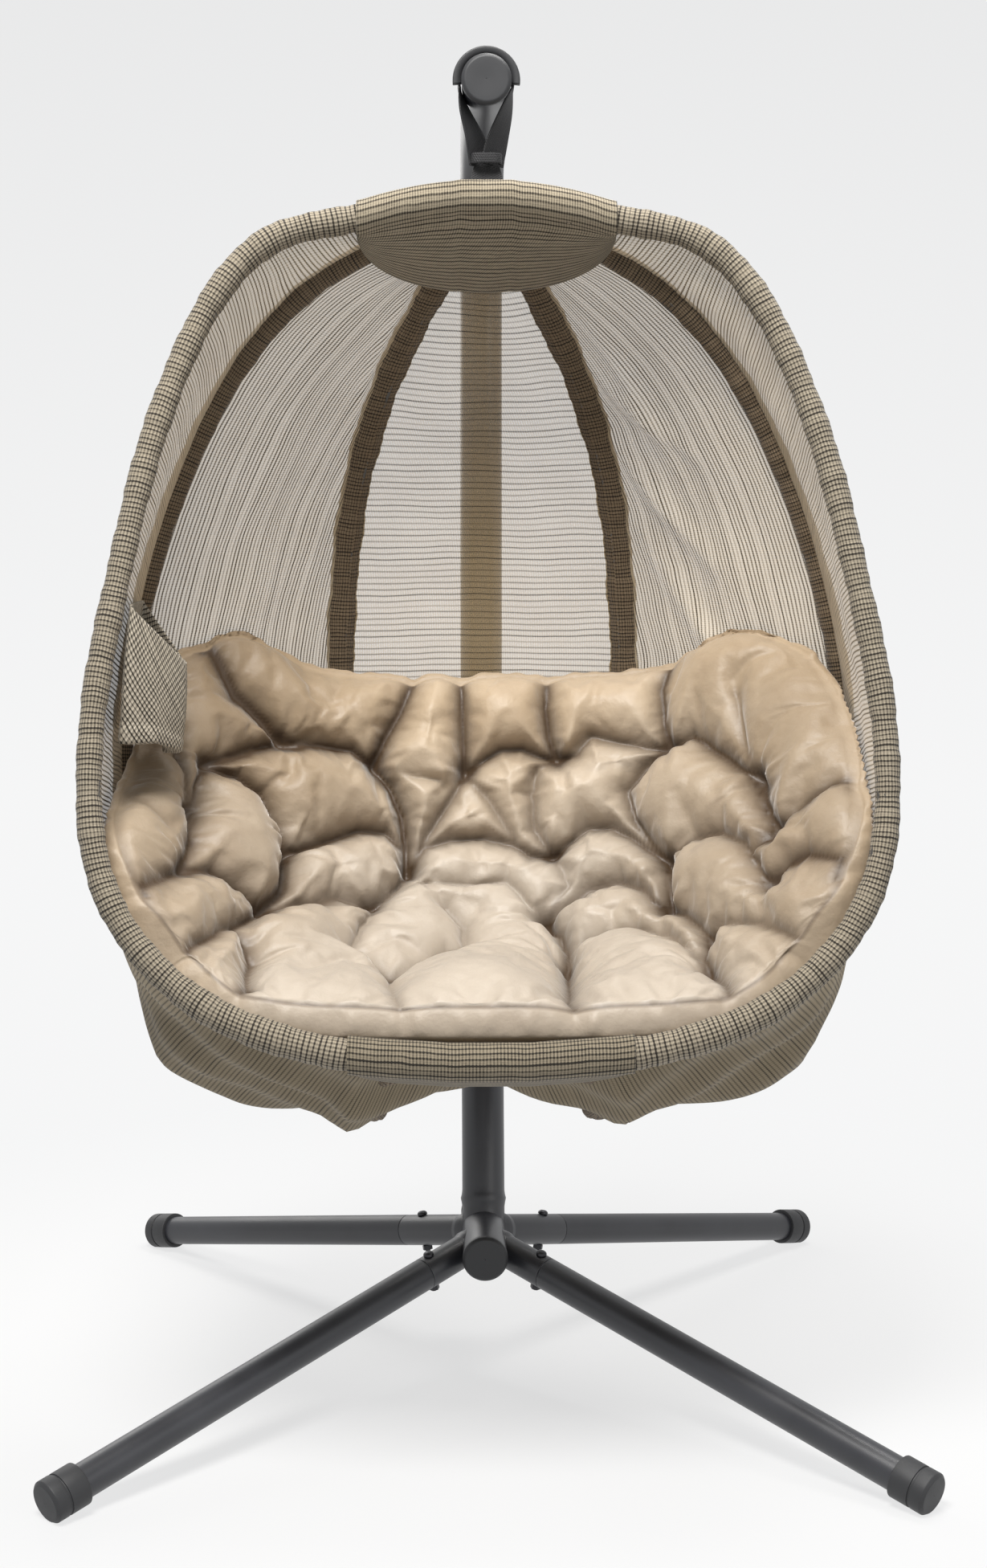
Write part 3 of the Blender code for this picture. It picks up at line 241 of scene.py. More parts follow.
def axes_place(origin, x_axis, y_axis, z_axis):
    """A placement from an origin and three unit axes."""
    rows = Matrix((x_axis, y_axis, z_axis)).transposed().to_4x4()
    return Matrix.Translation(origin) @ rows


def ripple(x, *terms):
    """A sum of sines over an array, for wrinkles that are the same each run: (amount, rate, shift) each."""
    return sum(amount * np.sin(rate * x + shift) for amount, rate, shift in terms)


# Materials

class Nodes:
    """A node tree under construction."""

    def __init__(self, tree):
        self.tree = tree

    def add(self, kind, values=None, **settings):
        """A node with its settings and input values or links."""
        made = self.tree.nodes.new(kind)
        for key, value in settings.items():
            setattr(made, key, value)
        for key, value in (values or {}).items():
            self.put(made.inputs[key], value)
        return made

    def put(self, socket, value):
        """Links or sets one input."""
        if isinstance(value, bpy.types.NodeSocket):
            self.tree.links.new(value, socket)
        else:
            socket.default_value = value

    def math(self, operation, a, b, clamp=False):
        """One calculation."""
        return self.add("ShaderNodeMath", {0: a, 1: b}, operation=operation, use_clamp=clamp).outputs[0]

    def times(self, a, b):
        """A product."""
        return self.math("MULTIPLY", a, b)

    def plus(self, total, *others, clamp=False):
        """A sum from left to right, kept from 0 to 1 at its end if asked."""
        for other in others[:-1]:
            total = self.math("ADD", total, other)
        return self.math("ADD", total, others[-1], clamp=clamp)

    def mix(self, share, a, b):
        """A colour between two."""
        made = self.add("ShaderNodeMix", data_type="RGBA")
        self.put(made.inputs[0], share)
        self.put(made.inputs[6], a if isinstance(a, bpy.types.NodeSocket) else (*a, 1.0))
        self.put(made.inputs[7], b if isinstance(b, bpy.types.NodeSocket) else (*b, 1.0))
        return made.outputs[2]

    def span(self, value, low, high, out_low=0.0, out_high=1.0):
        """A value moved from one range to another, kept inside it."""
        made = self.add("ShaderNodeMapRange", {"Value": value, "From Min": low, "From Max": high,
                                               "To Min": out_low, "To Max": out_high})
        return made.outputs[0]


class Shade(Nodes):
    """A node material under construction."""

    def __init__(self, name):
        self.material = bpy.data.materials.new(name)
        self.material.use_nodes = True
        super().__init__(self.material.node_tree)
        self.shader = self.tree.nodes["Principled BSDF"]

    def uv(self):
        """Metric places round (u) and along (v) the surface."""
        made = self.add("ShaderNodeSeparateXYZ", {0: self.add("ShaderNodeUVMap", uv_map="metres").outputs[0]})
        return made.outputs[0], made.outputs[1]

    def point(self):
        """The place in the object."""
        return self.add("ShaderNodeTexCoord").outputs["Object"]

    def join(self, x, y):
        """A place from its parts."""
        return self.add("ShaderNodeCombineXYZ", {0: x, 1: y}).outputs[0]

    def noise(self, place, scale, detail, rough=0.5):
        """Soft noise from 0 to 1."""
        sockets = {"Vector": place, "Scale": scale, "Detail": detail, "Roughness": rough}
        return self.add("ShaderNodeTexNoise", sockets).outputs[0]

    def lines(self, place, pitch, width, soft):
        """Lines at an even pitch: 1 on a line, 0 between, all in metres."""
        away = self.math("PINGPONG", place, pitch / 2)
        return self.span(away, width / 2 + soft, max(0.0, width / 2 - soft))

    def attribute(self, name):
        """A value stored on the mesh."""
        return self.add("ShaderNodeAttribute", attribute_name=name).outputs["Fac"]

    def bump(self, height, strength, distance):
        """Small relief."""
        made = self.add("ShaderNodeBump", {"Height": height, "Strength": strength, "Distance": distance})
        self.put(self.shader.inputs["Normal"], made.outputs[0])

    def set(self, **values):
        """Inputs of the shader, with spaces as underscores."""
        for key, value in values.items():
            self.put(self.shader.inputs[key.replace("_", " ")], value)
        return self.material


def coating(name, cloud, colours, rough, grain=None, cloudy=(0.0, 1.0), **settings):
    """Paint, plastic or plating: colours and roughness in soft clouds (scale, detail), and a fine grain
    (scale, detail, strength)."""
    s = Shade(name)
    place = s.point()
    cloud = s.noise(place, *cloud)
    if grain:
        s.bump(s.noise(place, *grain[:2]), grain[2], 0.0004)
    colour = s.mix(s.span(cloud, *cloudy), *colours)
    return s.set(Base_Color=colour, Roughness=s.span(cloud, 0.3, 0.7, *rough), **settings)


def webbing():
    """Black woven strap: a twill of close ribs."""
    s = Shade("black_webbing")
    u, v = s.uv()
    twill = s.lines(s.plus(s.times(u, 0.6), v), 0.0030, 0.0016, 0.0008)
    rib = s.lines(u, 0.0022, 0.0012, 0.0006)
    weave = s.times(s.plus(twill, rib), 0.5)
    lit = s.plus(s.times(weave, 0.7), s.times(s.noise(s.join(u, v), 60.0, 3.0), 0.5))
    s.bump(weave, 0.8, 0.0010)
    return s.set(Base_Color=s.mix(lit, (0.005, 0.005, 0.0055), (0.030, 0.030, 0.032)), Roughness=0.62,
                 Specular_IOR_Level=0.35)


def check_fabric(name, light, dark, pitch, amount, fine_pitch=0.0034, slant=0.0):
    """Woven check: dark cross threads, finer threads the other way, uneven from thread to thread."""
    s = Shade(name)
    u, v = s.uv()
    place = s.join(u, v)
    wave = s.times(s.noise(place, 18.0, 2.0), 0.007)
    across = s.plus(v, wave, s.times(u, slant))
    down = s.plus(u, s.times(wave, 0.3), s.times(v, -slant))
    strong = s.noise(s.join(0.0, across), 95.0, 1.0)
    heavy = s.lines(across, pitch, pitch * 0.40, pitch * 0.14)
    fine = s.lines(across, pitch / 2, pitch * 0.14, pitch * 0.08)
    down = s.lines(down, fine_pitch, fine_pitch * 0.40, fine_pitch * 0.2)
    heavy = s.times(heavy, s.span(strong, 0.30, 0.68, 0.30, 1.0))
    patchy = s.span(s.noise(place, 45.0, 3.0), 0.3, 0.7, 0.55, 1.0)
    dye = s.times(s.noise(place, 520.0, 2.0), 0.5)
    total = s.plus(s.times(heavy, amount), s.times(fine, 0.30 * amount),
                   s.times(s.times(down, patchy), 0.75 * amount), s.math("SUBTRACT", dye, 0.22), clamp=True)
    s.bump(s.plus(heavy, down), 0.60, 0.0009)
    return s.set(Base_Color=s.mix(total, light, dark), Roughness=0.82, Specular_IOR_Level=0.25,
                 Sheen_Weight=0.12)


def mesh_fabric(name, light, dark, cover, pitch, share, amount, fine_pitch, fine,
                along_first=False, slant=0.0, seat=0.0):
    """See-through woven mesh: threads that let the background through, with darker, thicker lines. Below the
    seat it is closer and darker, with painted shade, by the amount that seat gives."""
    s = Shade(name)
    u, v = s.uv()
    first, second = (u, v) if along_first else (v, u)
    spot = s.join(u, v)
    wave = s.times(s.noise(spot, 7.0, 2.0), 0.011)
    place = s.plus(first, wave, s.times(second, slant))
    strong = s.span(s.noise(s.join(0.0, place), 75.0, 1.0), 0.25, 0.65, 0.40, 1.0)
    line = s.times(s.lines(place, pitch, pitch * share, pitch * 0.12), strong)
    thread = s.lines(second, fine_pitch, fine_pitch * 0.40, fine_pitch * 0.25)
    half = s.lines(place, pitch / 3, pitch * 0.10, pitch * 0.07)
    cloud = s.span(s.noise(spot, 16.0, 4.0), 0.3, 0.7, -0.02, 0.02)
    yarn = s.plus(s.times(s.noise(spot, 620.0, 2.0), 0.30), -0.15)
    uneven = s.plus(yarn, cloud)
    shade = s.plus(s.times(line, amount), s.times(thread, fine), s.times(half, 0.5 * fine), uneven,
                   clamp=True)
    height = s.add("ShaderNodeSeparateXYZ", {0: s.point()}).outputs[2]
    # Painted shade below the seat, growing from 0.80 m down to 0.58 m: darker colours there, and a closer
    # weave
    low = s.span(height, 0.80, 0.58, 0.0, seat)
    colour = s.mix(low, s.mix(shade, light, dark), s.mix(shade, (0.150, 0.118, 0.070), (0.012, 0.009, 0.006)))
    solid = s.plus(cover, low, s.times(line, 0.42), s.times(thread, 0.14), uneven, clamp=True)
    s.bump(s.plus(line, thread), 0.40, 0.0006)
    return s.set(Base_Color=colour, Alpha=solid, Roughness=0.75, Specular_IOR_Level=0.2, Sheen_Weight=0.1)


def cushion_satin():
    """Tan satin with a fine twill and soft streaks, with a painted sheen where it faces up and painted shade
    in its creases, tufts, sides and band.
    """
    s = Shade("tan_satin")
    place = s.point()
    streak = s.noise(place, 60.0, 3.0)
    lit = s.span(s.plus(s.times(s.noise(place, 7.0, 5.0, 0.6), 0.7), s.times(streak, 0.3)), 0.35, 0.65)
    colour = s.mix(lit, (0.430, 0.308, 0.184), (0.515, 0.385, 0.240))
    # Painted sheen: paler, greyer colours where the cushion faces up
    painted_sheen = s.mix(lit, (0.455, 0.390, 0.318), (0.515, 0.448, 0.370))
    colour = s.mix(s.attribute("pale"), colour, painted_sheen)
    # Painted shade: dark brown in the creases, at the tufts, on the sides and on the band
    colour = s.mix(s.attribute("crease_shade"), colour, (0.055, 0.030, 0.012))
    crumple = s.noise(place, 42.0, 4.0, 0.55)
    twill = s.times(s.noise(place, 1400.0, 2.0), 0.06)
    s.bump(s.plus(twill, s.plus(crumple, s.times(streak, 0.2))), 0.50, 0.0040)
    return s.set(Base_Color=colour, Roughness=s.span(streak, 0.3, 0.7, 0.44, 0.54), Specular_IOR_Level=0.45,
                 Sheen_Weight=0.45, Sheen_Roughness=0.40, Sheen_Tint=(1.0, 0.98, 0.95, 1.0))


PAINT = coating("black_powder_coat", (9.0, 4.0), ((0.0190, 0.0200, 0.0245), (0.0330, 0.0345, 0.0410)),
                (0.33, 0.44), (900.0, 2.0, 0.22), (0.35, 0.75), Specular_IOR_Level=0.6)
PLASTIC = coating("black_moulded_plastic", (25.0, 3.0), ((0.016, 0.0165, 0.018), (0.032, 0.033, 0.036)),
                  (0.46, 0.58), (1500.0, 3.0, 0.30), Specular_IOR_Level=0.45)
ZINC = coating("dark_zinc_plate", (160.0, 4.0), ((0.020, 0.020, 0.022), (0.060, 0.060, 0.066)), (0.30, 0.48),
               Metallic=0.7)
STEEL = coating("hoop_steel", (40.0, 4.0), ((0.05, 0.048, 0.045), (0.10, 0.095, 0.09)), (0.35, 0.5),
                Metallic=0.4)
WEBBING = webbing()
RIM_CHECK = check_fabric("rim_check", (0.40, 0.345, 0.26), (0.018, 0.014, 0.010), 0.0064, 0.90, 0.0046)
RIB_CHECK = check_fabric("rib_check", (0.225, 0.165, 0.105), (0.016, 0.011, 0.006), 0.0052, 0.85)
PATCH_CHECK = check_fabric("patch_check", (0.41, 0.35, 0.255), (0.022, 0.017, 0.011), 0.0088, 0.85)
# The lip patch: the same fabric as the crown patch, in darker colours that are painted shade
SHADED_LIP_CHECK = check_fabric("shaded_lip_check", (0.31, 0.262, 0.188), (0.016, 0.013, 0.009), 0.0072, 0.95, 0.0042)
POCKET_CHECK = check_fabric("pocket_check", (0.62, 0.55, 0.44), (0.022, 0.018, 0.013), 0.0060, 0.95,
                            0.0060, 0.9)
CENTRE_MESH = mesh_fabric("centre_mesh", (0.62, 0.47, 0.27), (0.035, 0.025, 0.014), 0.42, 0.0085, 0.20, 0.95,
                          0.0034, 0.20)
BACK_MESH = mesh_fabric("back_mesh", (0.76, 0.62, 0.42), (0.050, 0.040, 0.026), 0.54, 0.0058, 0.42, 0.85,
                        0.0030, 0.20, True)
# The side panels' last number, 0.85, gives their painted shade and closer weave below the seat
SIDE_MESH = mesh_fabric("side_mesh", (0.80, 0.67, 0.48), (0.050, 0.040, 0.026), 0.66, 0.0062, 0.32, 0.75,
                        0.0036, 0.22, False, 0.25, 0.85)
SATIN = cushion_satin()


# Hoops and sleeves

def mirrored(points):
    """The same points on the other side of the middle."""
    return points * np.array((-1.0, 1.0, 1.0))


def rim_y(z):
    """The rim hoop's leaning plane."""
    return CROWN[0] + (LIP[0] - CROWN[0]) * (CROWN[1] - z) / (CROWN[1] - LIP[1])


def half_hoop(first, points, last):
    """Half a hoop from crown to lip."""
    return spline([(CROWN_FLAT, *first), *points, (LIP_FLAT, *last)], STATIONS, BEND_SHARE)


RIM = half_hoop(CROWN, [(x, rim_y(z), z) for x, z in RIM_HALF], LIP)
MIDDLE = half_hoop(HANG, MIDDLE_HALF, MIDDLE_BOTTOM)
REAR = half_hoop(REAR_TOP, REAR_HALF, REAR_BOTTOM)


def whole_loop(half, spacing=0.005):
    """The full hoop as a closed path in even steps."""
    path = np.vstack([half, mirrored(half)[::-1], half[:1]])
    return even(path, spacing)[:-1]


# Half thickness and half width of the rear hoop's sleeve, which is round ahead of its lowest point
REAR_SLEEVE = (0.0146, 0.0218)
# Half thickness of the rim's sleeve, by height
RIM_FULLNESS = ((0.57, 0.64, 0.75, 1.30, 1.50, 1.60), (0.0195, 0.0185, 0.0160, 0.0158, 0.0168, 0.0180))


def build_sleeves():
    """The rim's sleeve as one loop, the middle hoop's as puckered tubes and the rear one's as flat bands."""
    loop = whole_loop(RIM)
    place = along(loop)
    small = ripple(place, (0.0006, 190.0, 0.0), (0.0005, 333.0, 1.0), (0.0009, 71.0, 2.0),
                   (0.0007, 23.0, 0.4))
    size = np.interp(loop[:, 2], *RIM_FULLNESS) + small * 0.7
    mesh = tube("rim_sleeve", loop, HEART - loop, size, size, 28, True)
    add("rim_sleeve", mesh, "chair", RIM_CHECK, ("rim_sleeve_left", "rim_sleeve_right"))
    flat, wide = REAR_SLEEVE
    for tag, turn in (("right", np.array), ("left", mirrored)):
        shift = 0.0 if tag == "right" else 2.1
        path = even(turn(MIDDLE[int(0.5 * FINE):]), 0.0035)
        path = np.vstack([path, path[-1:] * np.array((0.0, 1.0, 1.0))])
        place = along(path) + shift
        bumps = ripple(place, (0.0012, 61.0, 0.3), (0.0010, 113.0, 1.9), (0.0006, 290.0, 0.7))
        name = "middle_sleeve_" + tag
        mesh = tube(name, path, HEART - path, RIB_RADIUS - 0.0015 + bumps * 0.4, RIB_RADIUS + bumps, 24)
        add(name, mesh, "chair", RIB_CHECK)
        path = even(turn(REAR), 0.0035)
        place = along(path) + shift
        bumps = ripple(place, (0.0012, 47.0, 0.9), (0.0010, 103.0, 2.2), (0.0006, 310.0, 0.1))
        ahead = np.clip((-0.16 - path[:, 1]) / 0.08, 0, 1) * (path[:, 2] < 0.7)
        name = "rear_sleeve_" + tag
        mesh = ribbed_band(name, path, flat - 0.0004 * ahead, (wide + bumps) * (1 - ahead) + flat * ahead,
                           bumps * (1 - ahead))
        add(name, mesh, "chair", RIB_CHECK)


def ribbed_band(name, path, thick, wide, bumps):
    """A flat sleeve with a stitched ridge along each edge and gathers across it."""
    sides = 40
    turn = 2 * pi * np.arange(sides) / sides
    side = np.abs(np.sin(turn))
    ridge = 0.0022 * np.exp(-((side - 0.80) / 0.09) ** 2) - 0.0014 * np.exp(-((side - 0.62) / 0.08) ** 2)
    phase = along(path)[:, None] * 640.0 + 3.0 * np.sin(5.0 * turn)[None]
    gather = 0.0007 * np.sin(phase) * (1 - side[None] ** 4)
    high = (thick + 0.4 * bumps)[:, None] + ridge[None] + gather
    return tube(name, path, HEART - path, high, np.repeat(wide[:, None], sides, 1), sides)


# Mesh panels

def seam(points, towards, radius, turn):
    """Where a panel meets a sleeve, a little inside it."""
    direction = tangents(points)
    out = unit(towards - points) + turn * unit(HEART - points)
    out = unit(out - direction * (out * direction).sum(1, keepdims=True))
    return points + out * radius


def panel_grid(first, second, radii, columns, turn, bow, late=1.0):
    """Rows of points between two hoops, bowed inwards by bow; late moves that towards the second hoop."""
    near_lip = np.clip(1 - (len(first) - 1 - np.arange(len(first))) / (4.0 * FINE), 0, 1)[:, None]
    start = seam(first, second, radii[0], turn * near_lip)
    finish = seam(second, first, radii[1], 0.0)
    share = np.linspace(0, 1, columns)[None, :, None]
    grid = start[:, None] * (1 - share) + finish[:, None] * share
    run = unit(finish - start)[:, None]
    inwards = HEART - grid
    inwards = unit(inwards - run * (inwards * run).sum(-1, keepdims=True))
    bow = np.broadcast_to(bow, grid.shape[:1])[:, None, None]
    late = np.broadcast_to(late, grid.shape[:1])[:, None, None]
    return grid + inwards * bow * np.sin(pi * share ** late), inwards


def panel_uv(grid):
    """Metric UVs of a panel: u across from the first hoop, v along."""
    steps = np.linalg.norm(np.diff(grid, axis=1), axis=2)
    u = np.concatenate([np.zeros((len(grid), 1)), np.cumsum(steps, 1)], 1)
    middle = grid[:, grid.shape[1] // 2]
    v = np.repeat(along(middle)[:, None], grid.shape[1], 1)
    return np.stack([u, v], -1)


def add_sheet(name, grid, material, closed=False):
    """A sheet on the chair, with metric UVs measured along its own spans."""
    flat = np.concatenate([grid, grid[:, :1]], 1) if closed else grid
    piece = add(name, grid_mesh(name, grid, panel_uv(flat), (False, closed)), "chair", material)
    return piece


def stretch(half, span, count):
    """Evenly numbered points on a stretch of half a hoop."""
    station = np.linspace(span[0] * FINE, span[1] * FINE, count)
    return resample(half, np.arange(len(half)), station)


def to_middle(half):
    """Half a hoop with its flat run on to the middle of the chair."""
    flat = half[-1] * np.linspace(1, 0.003, FINE + 1)[1:, None] ** np.array((1, 0, 0))
    return np.vstack([half, flat])


# How far the side panels hang below the seat, by distance from the middle
SEAT_SAG = ((0.0, 0.10, 0.15, 0.19, 0.30, 0.40, 0.45, 0.48),
            (0.026, 0.058, 0.094, 0.070, 0.058, 0.050, 0.030, 0.008))
# How much nearer to the middle hoop they hang lowest there
SEAT_LATE = ((0.0, 0.08, 0.16, 0.20, 0.28), (0.9, 0.35, 0.15, 0.35, 1.0))

# Soft folds in the back panels: start and end as (share across, distance along), height and width
RIGHT_FOLDS = (((0.95, 0.22), (0.45, 0.36), 0.010, 0.014), ((0.98, 0.33), (0.50, 0.52), 0.011, 0.016),
               ((0.92, 0.46), (0.40, 0.72), 0.009, 0.018), ((0.75, 0.16), (0.55, 0.42), 0.006, 0.012),
               ((0.60, 0.62), (0.25, 0.74), 0.006, 0.016))
LEFT_FOLDS = (((0.84, 0.06), (0.93, 0.36), 0.007, 0.010), ((0.93, 0.36), (0.99, 0.44), 0.006, 0.010),
              ((0.95, 0.66), (0.75, 0.80), 0.007, 0.014))

# Points and inward directions of the panels round the cushion
SHELLS = []
# How deep the panels run into the round sleeves, and where they meet the rear one
SEWN_IN, REAR_SEAM = 0.004, 0.016


def build_panels():
    """Side panels from rim to middle hoop, back panels on to the rear hoop, and the centre panel."""
    lowest = int(np.argmin(REAR[:, 2])) / FINE
    for tag, turn in (("right", np.array), ("left", mirrored)):
        outer = turn(to_middle(RIM)[FINE // 2:])
        inner = turn(to_middle(MIDDLE)[FINE // 2:])
        bow = np.interp(outer[:, 2], (0.80, 0.95, 1.10, 1.60), (-0.008, -0.003, 0.006, 0.010))
        low = np.interp(outer[:, 2], (0.66, 0.80), (1.0, 0.0))
        bow = bow * (1 - low) - low * np.interp(np.abs(outer[:, 0]), *SEAT_SAG)
        late = 1 + low * np.interp(np.abs(outer[:, 0]), *SEAT_LATE)
        seams = (RIM_RADIUS - SEWN_IN, RIB_RADIUS - SEWN_IN)
        grid, inwards = panel_grid(outer, inner, seams, 49, 0.9, bow, late)
        loose = np.interp(outer[:, 2], (0.58, 0.75, 1.0), (0.0110, 0.0060, 0.0020))
        grid = wrinkled(grid, inwards, loose, (31.0, 17.0), 0.0 if tag == "right" else 1.4)
        name = "mesh_panel_side_" + tag
        add_sheet(name, grid, SIDE_MESH)
        SHELLS.append((grid.reshape(-1, 3), inwards.reshape(-1, 3)))
        second = np.vstack([stretch(MIDDLE, (0.5, 15), 15 * FINE),
                            stretch(MIDDLE, (15, 18), 4 * FINE + 1)[1:]])
        third = np.vstack([stretch(REAR, (0, 11), 15 * FINE), stretch(REAR, (11, lowest), 4 * FINE + 1)[1:]])
        seams = (RIB_RADIUS - SEWN_IN, REAR_SEAM)
        grid, inwards = panel_grid(turn(second), turn(third), seams, 45, 0.0, 0.009)
        loose = np.interp(second[:, 2], (0.50, 0.70, 1.0), (0.0060, 0.0040, 0.0032))
        grid = wrinkled(grid, inwards, loose, (26.0, 21.0), 0.5 if tag == "right" else 2.6)
        grid = folded(grid, inwards, RIGHT_FOLDS if tag == "right" else LEFT_FOLDS)
        name = "mesh_panel_back_" + tag
        add_sheet(name, grid, BACK_MESH)
        SHELLS.append((grid.reshape(-1, 3), inwards.reshape(-1, 3)))
    centre = REAR[:11 * FINE + 1]
    grid, inwards = panel_grid(centre, mirrored(centre), (REAR_SEAM, REAR_SEAM), 49, 0.0, 0.006)
    loose = np.interp(centre[:, 2], (1.0, 1.25, 1.5), (0.0006, 0.0020, 0.0030))
    grid = wrinkled(grid, inwards, loose, (19.0, 48.0), 0.9)
    add_sheet("mesh_panel_centre", grid, CENTRE_MESH)


def folded(grid, inwards, folds):
    """Ridges pressed into a panel along short lines."""
    uv = panel_uv(grid)
    width = uv[:, -1:, 0]
    lift = np.zeros(grid.shape[:2])
    for start, finish, height, reach in folds:
        ax, ay = start[0] * width, start[1]
        bx, by = finish[0] * width, finish[1]
        run_x, run_y = bx - ax, by - ay
        x, y = uv[..., 0] - ax, uv[..., 1] - ay
        share = np.clip((x * run_x + y * run_y) / (run_x ** 2 + run_y ** 2), 0, 1)
        away = np.hypot(x - share * run_x, y - share * run_y)
        tall = 0.35 + 0.65 * np.sin(pi * np.clip(share, 0.05, 0.95))
        lift += height * np.exp(-(away / reach) ** 2) * tall
    fade = np.sin(pi * np.linspace(0, 1, grid.shape[1])) ** 0.4
    return grid + inwards * (lift * fade[None])[..., None]


def wrinkled(grid, inwards, size, rates, shift):
    """Soft waves on a panel, gone at its sewn edges."""
    u, v = np.moveaxis(panel_uv(grid), -1, 0)
    share = np.linspace(0, 1, grid.shape[1])[None]
    wave = np.sin(rates[0] * u + 9.0 * v + shift) * np.sin(rates[1] * v + 2.0 + shift)
    wave = wave + 0.5 * np.sin(2.3 * rates[0] * u - 14.0 * v + 2 * shift)
    size = np.broadcast_to(size, len(grid))[:, None]
    return grid + inwards * (size * wave * np.sin(pi * share))[..., None]


# Patches and pocket

def rim_at(path, x):
    """The rim's centre at a distance from the middle, near the crown or the lip."""
    reach = np.maximum.accumulate(path[:, 0])
    last = int(np.argmax(path[:, 0]))
    reach, path = reach[:last + 1], path[:last + 1]
    return np.interp(np.abs(x), reach, path[:, 1]), np.interp(np.abs(x), reach, path[:, 2])


# Patches: half widths, how far they stand off or hang, and where the lip's flap ends at the rear hoop (y, z)
PATCH_COLUMNS, PATCH_THICKNESS = 81, 0.0020
CROWN_PATCH_HALF, CROWN_PATCH_RISE, CROWN_PATCH_BEND = 0.165, 0.0042, 1.04
CROWN_PATCH_BACK, CROWN_PATCH_DROP = 0.150, 0.083
LIP_PATCH_HALF, LIP_PATCH_RADIUS, LIP_PATCH_REAR = 0.172, 0.0228, (-0.466, 0.5243)


def wrapped(xs, y, z, radius, degrees, count):
    """Rows of points round the rim, from one angle to another."""
    angles = np.radians(np.linspace(*degrees, count))
    return [np.stack([xs, y + radius * cos(a), z + radius * sin(a)], 1) for a in angles]


def build_crown_patch():
    """The reinforcing patch that wraps the rim at the crown and hangs under the hoops' tops."""
    xs = np.linspace(-CROWN_PATCH_HALF, CROWN_PATCH_HALF, PATCH_COLUMNS)
    y, z = rim_at(RIM, xs)
    z = np.maximum(z, CROWN[1] - CROWN_PATCH_BEND * xs ** 2)
    rows = wrapped(xs, y, z, RIM_RADIUS + CROWN_PATCH_RISE, (80, 260), 22)
    under = rows[-1]
    length = 0.03 + 0.97 * np.maximum(0.0, 1 - (xs / CROWN_PATCH_HALF) ** 2) ** 0.70
    for step in range(1, 25):
        part = length * step / 24
        rows.append(under + np.stack([0 * xs, CROWN_PATCH_BACK * part, -CROWN_PATCH_DROP * part ** 0.85], 1))
    thicken(add_sheet("crown_patch", np.stack(rows), PATCH_CHECK))


def build_lip_patch():
    """The patch that wraps the rim at the lip and the rear hoop's front."""
    xs = np.linspace(-LIP_PATCH_HALF, LIP_PATCH_HALF, PATCH_COLUMNS)
    y, z = rim_at(RIM[::-1], xs)
    rows = wrapped(xs, y, z, LIP_PATCH_RADIUS, (60, 280), 28)
    under = rows[-1]
    rear_y, rear_z = LIP_PATCH_REAR
    last = np.stack([xs, 0 * xs + rear_y, rear_z + z - LIP[1]], 1)
    reach = np.maximum(0.02, 1 - (np.abs(xs) / LIP_PATCH_HALF) ** 6)[:, None]
    for step in range(1, 9):
        rows.append(under + (last - under) * reach * step / 8)
    thicken(add_sheet("lip_patch", np.stack(rows), SHADED_LIP_CHECK))


def thicken(piece):
    """Gives a sheet its thickness."""
    modifier = piece.modifiers.new("thickness", "SOLIDIFY")
    modifier.thickness = PATCH_THICKNESS
    modifier.offset = 0.0


# Pocket, as in the model: plan (x, y), heights, lean of its outer side and fullness of its hem
POCKET_PLAN = ((-0.4446, -0.372), (-0.3806, -0.318), (-0.3946, -0.235), (-0.4502, -0.205))
POCKET_LOW, POCKET_RIM, POCKET_INNER = 0.932, 1.110, 1.035
POCKET_LEAN, POCKET_HEM = 0.019, 0.035


def build_pocket():
    """An open-topped pouch of check fabric."""
    corners = np.array(POCKET_PLAN)
    tops = np.array((POCKET_RIM, POCKET_INNER, POCKET_INNER, POCKET_RIM))
    ring, top = [], []
    steps = 14
    for k in range(4):
        for t in np.arange(steps) / steps:
            ring.append(corners[k] * (1 - t) + corners[(k + 1) % 4] * t)
            top.append(tops[k] * (1 - t) + tops[(k + 1) % 4] * t)
    ring = np.array(ring)
    for _ in range(3):
        ring = (np.roll(ring, 1, 0) + 2 * ring + np.roll(ring, -1, 0)) / 4
    top = np.array(top)
    middle = ring.mean(0)
    inner = np.clip((ring[:, 0] - middle[0]) / (ring[:, 0].max() - middle[0]), 0, 1)
    outer = np.clip((middle[0] - ring[:, 0]) / (middle[0] - ring[:, 0].min()), 0, 1)
    low = POCKET_LOW + 0.006 - 0.016 * inner

    def ring_at(share, swell):
        """The pouch's outline at a share of its height."""
        drawn = swell - 0.26 * inner * (1 - share) ** 1.6
        leaning = np.stack([-POCKET_LEAN * outer * (1 - share), 0 * outer], 1)
        return middle + (ring - middle) * drawn[:, None] + leaning

    rows = []
    for share in np.linspace(0, 1, 9)[:-1]:
        flat = middle + (ring_at(0, 1.0) - middle) * (0.05 + 0.95 * share ** 0.8)
        rows.append(np.column_stack([flat, low - 0.003 * (1 - share ** 6)]))
    for share in np.linspace(0, 1, 41):
        hem = POCKET_HEM * np.clip((0.13 - share) / 0.012, 0, 1)
        swell = 1 + 0.05 * sin(pi * share) + hem
        rows.append(np.column_stack([ring_at(share, swell), low + (top - low) * share]))
    thicken(add_sheet("side_pocket", np.stack(rows), POCKET_CHECK,
                      True))


# Cushion

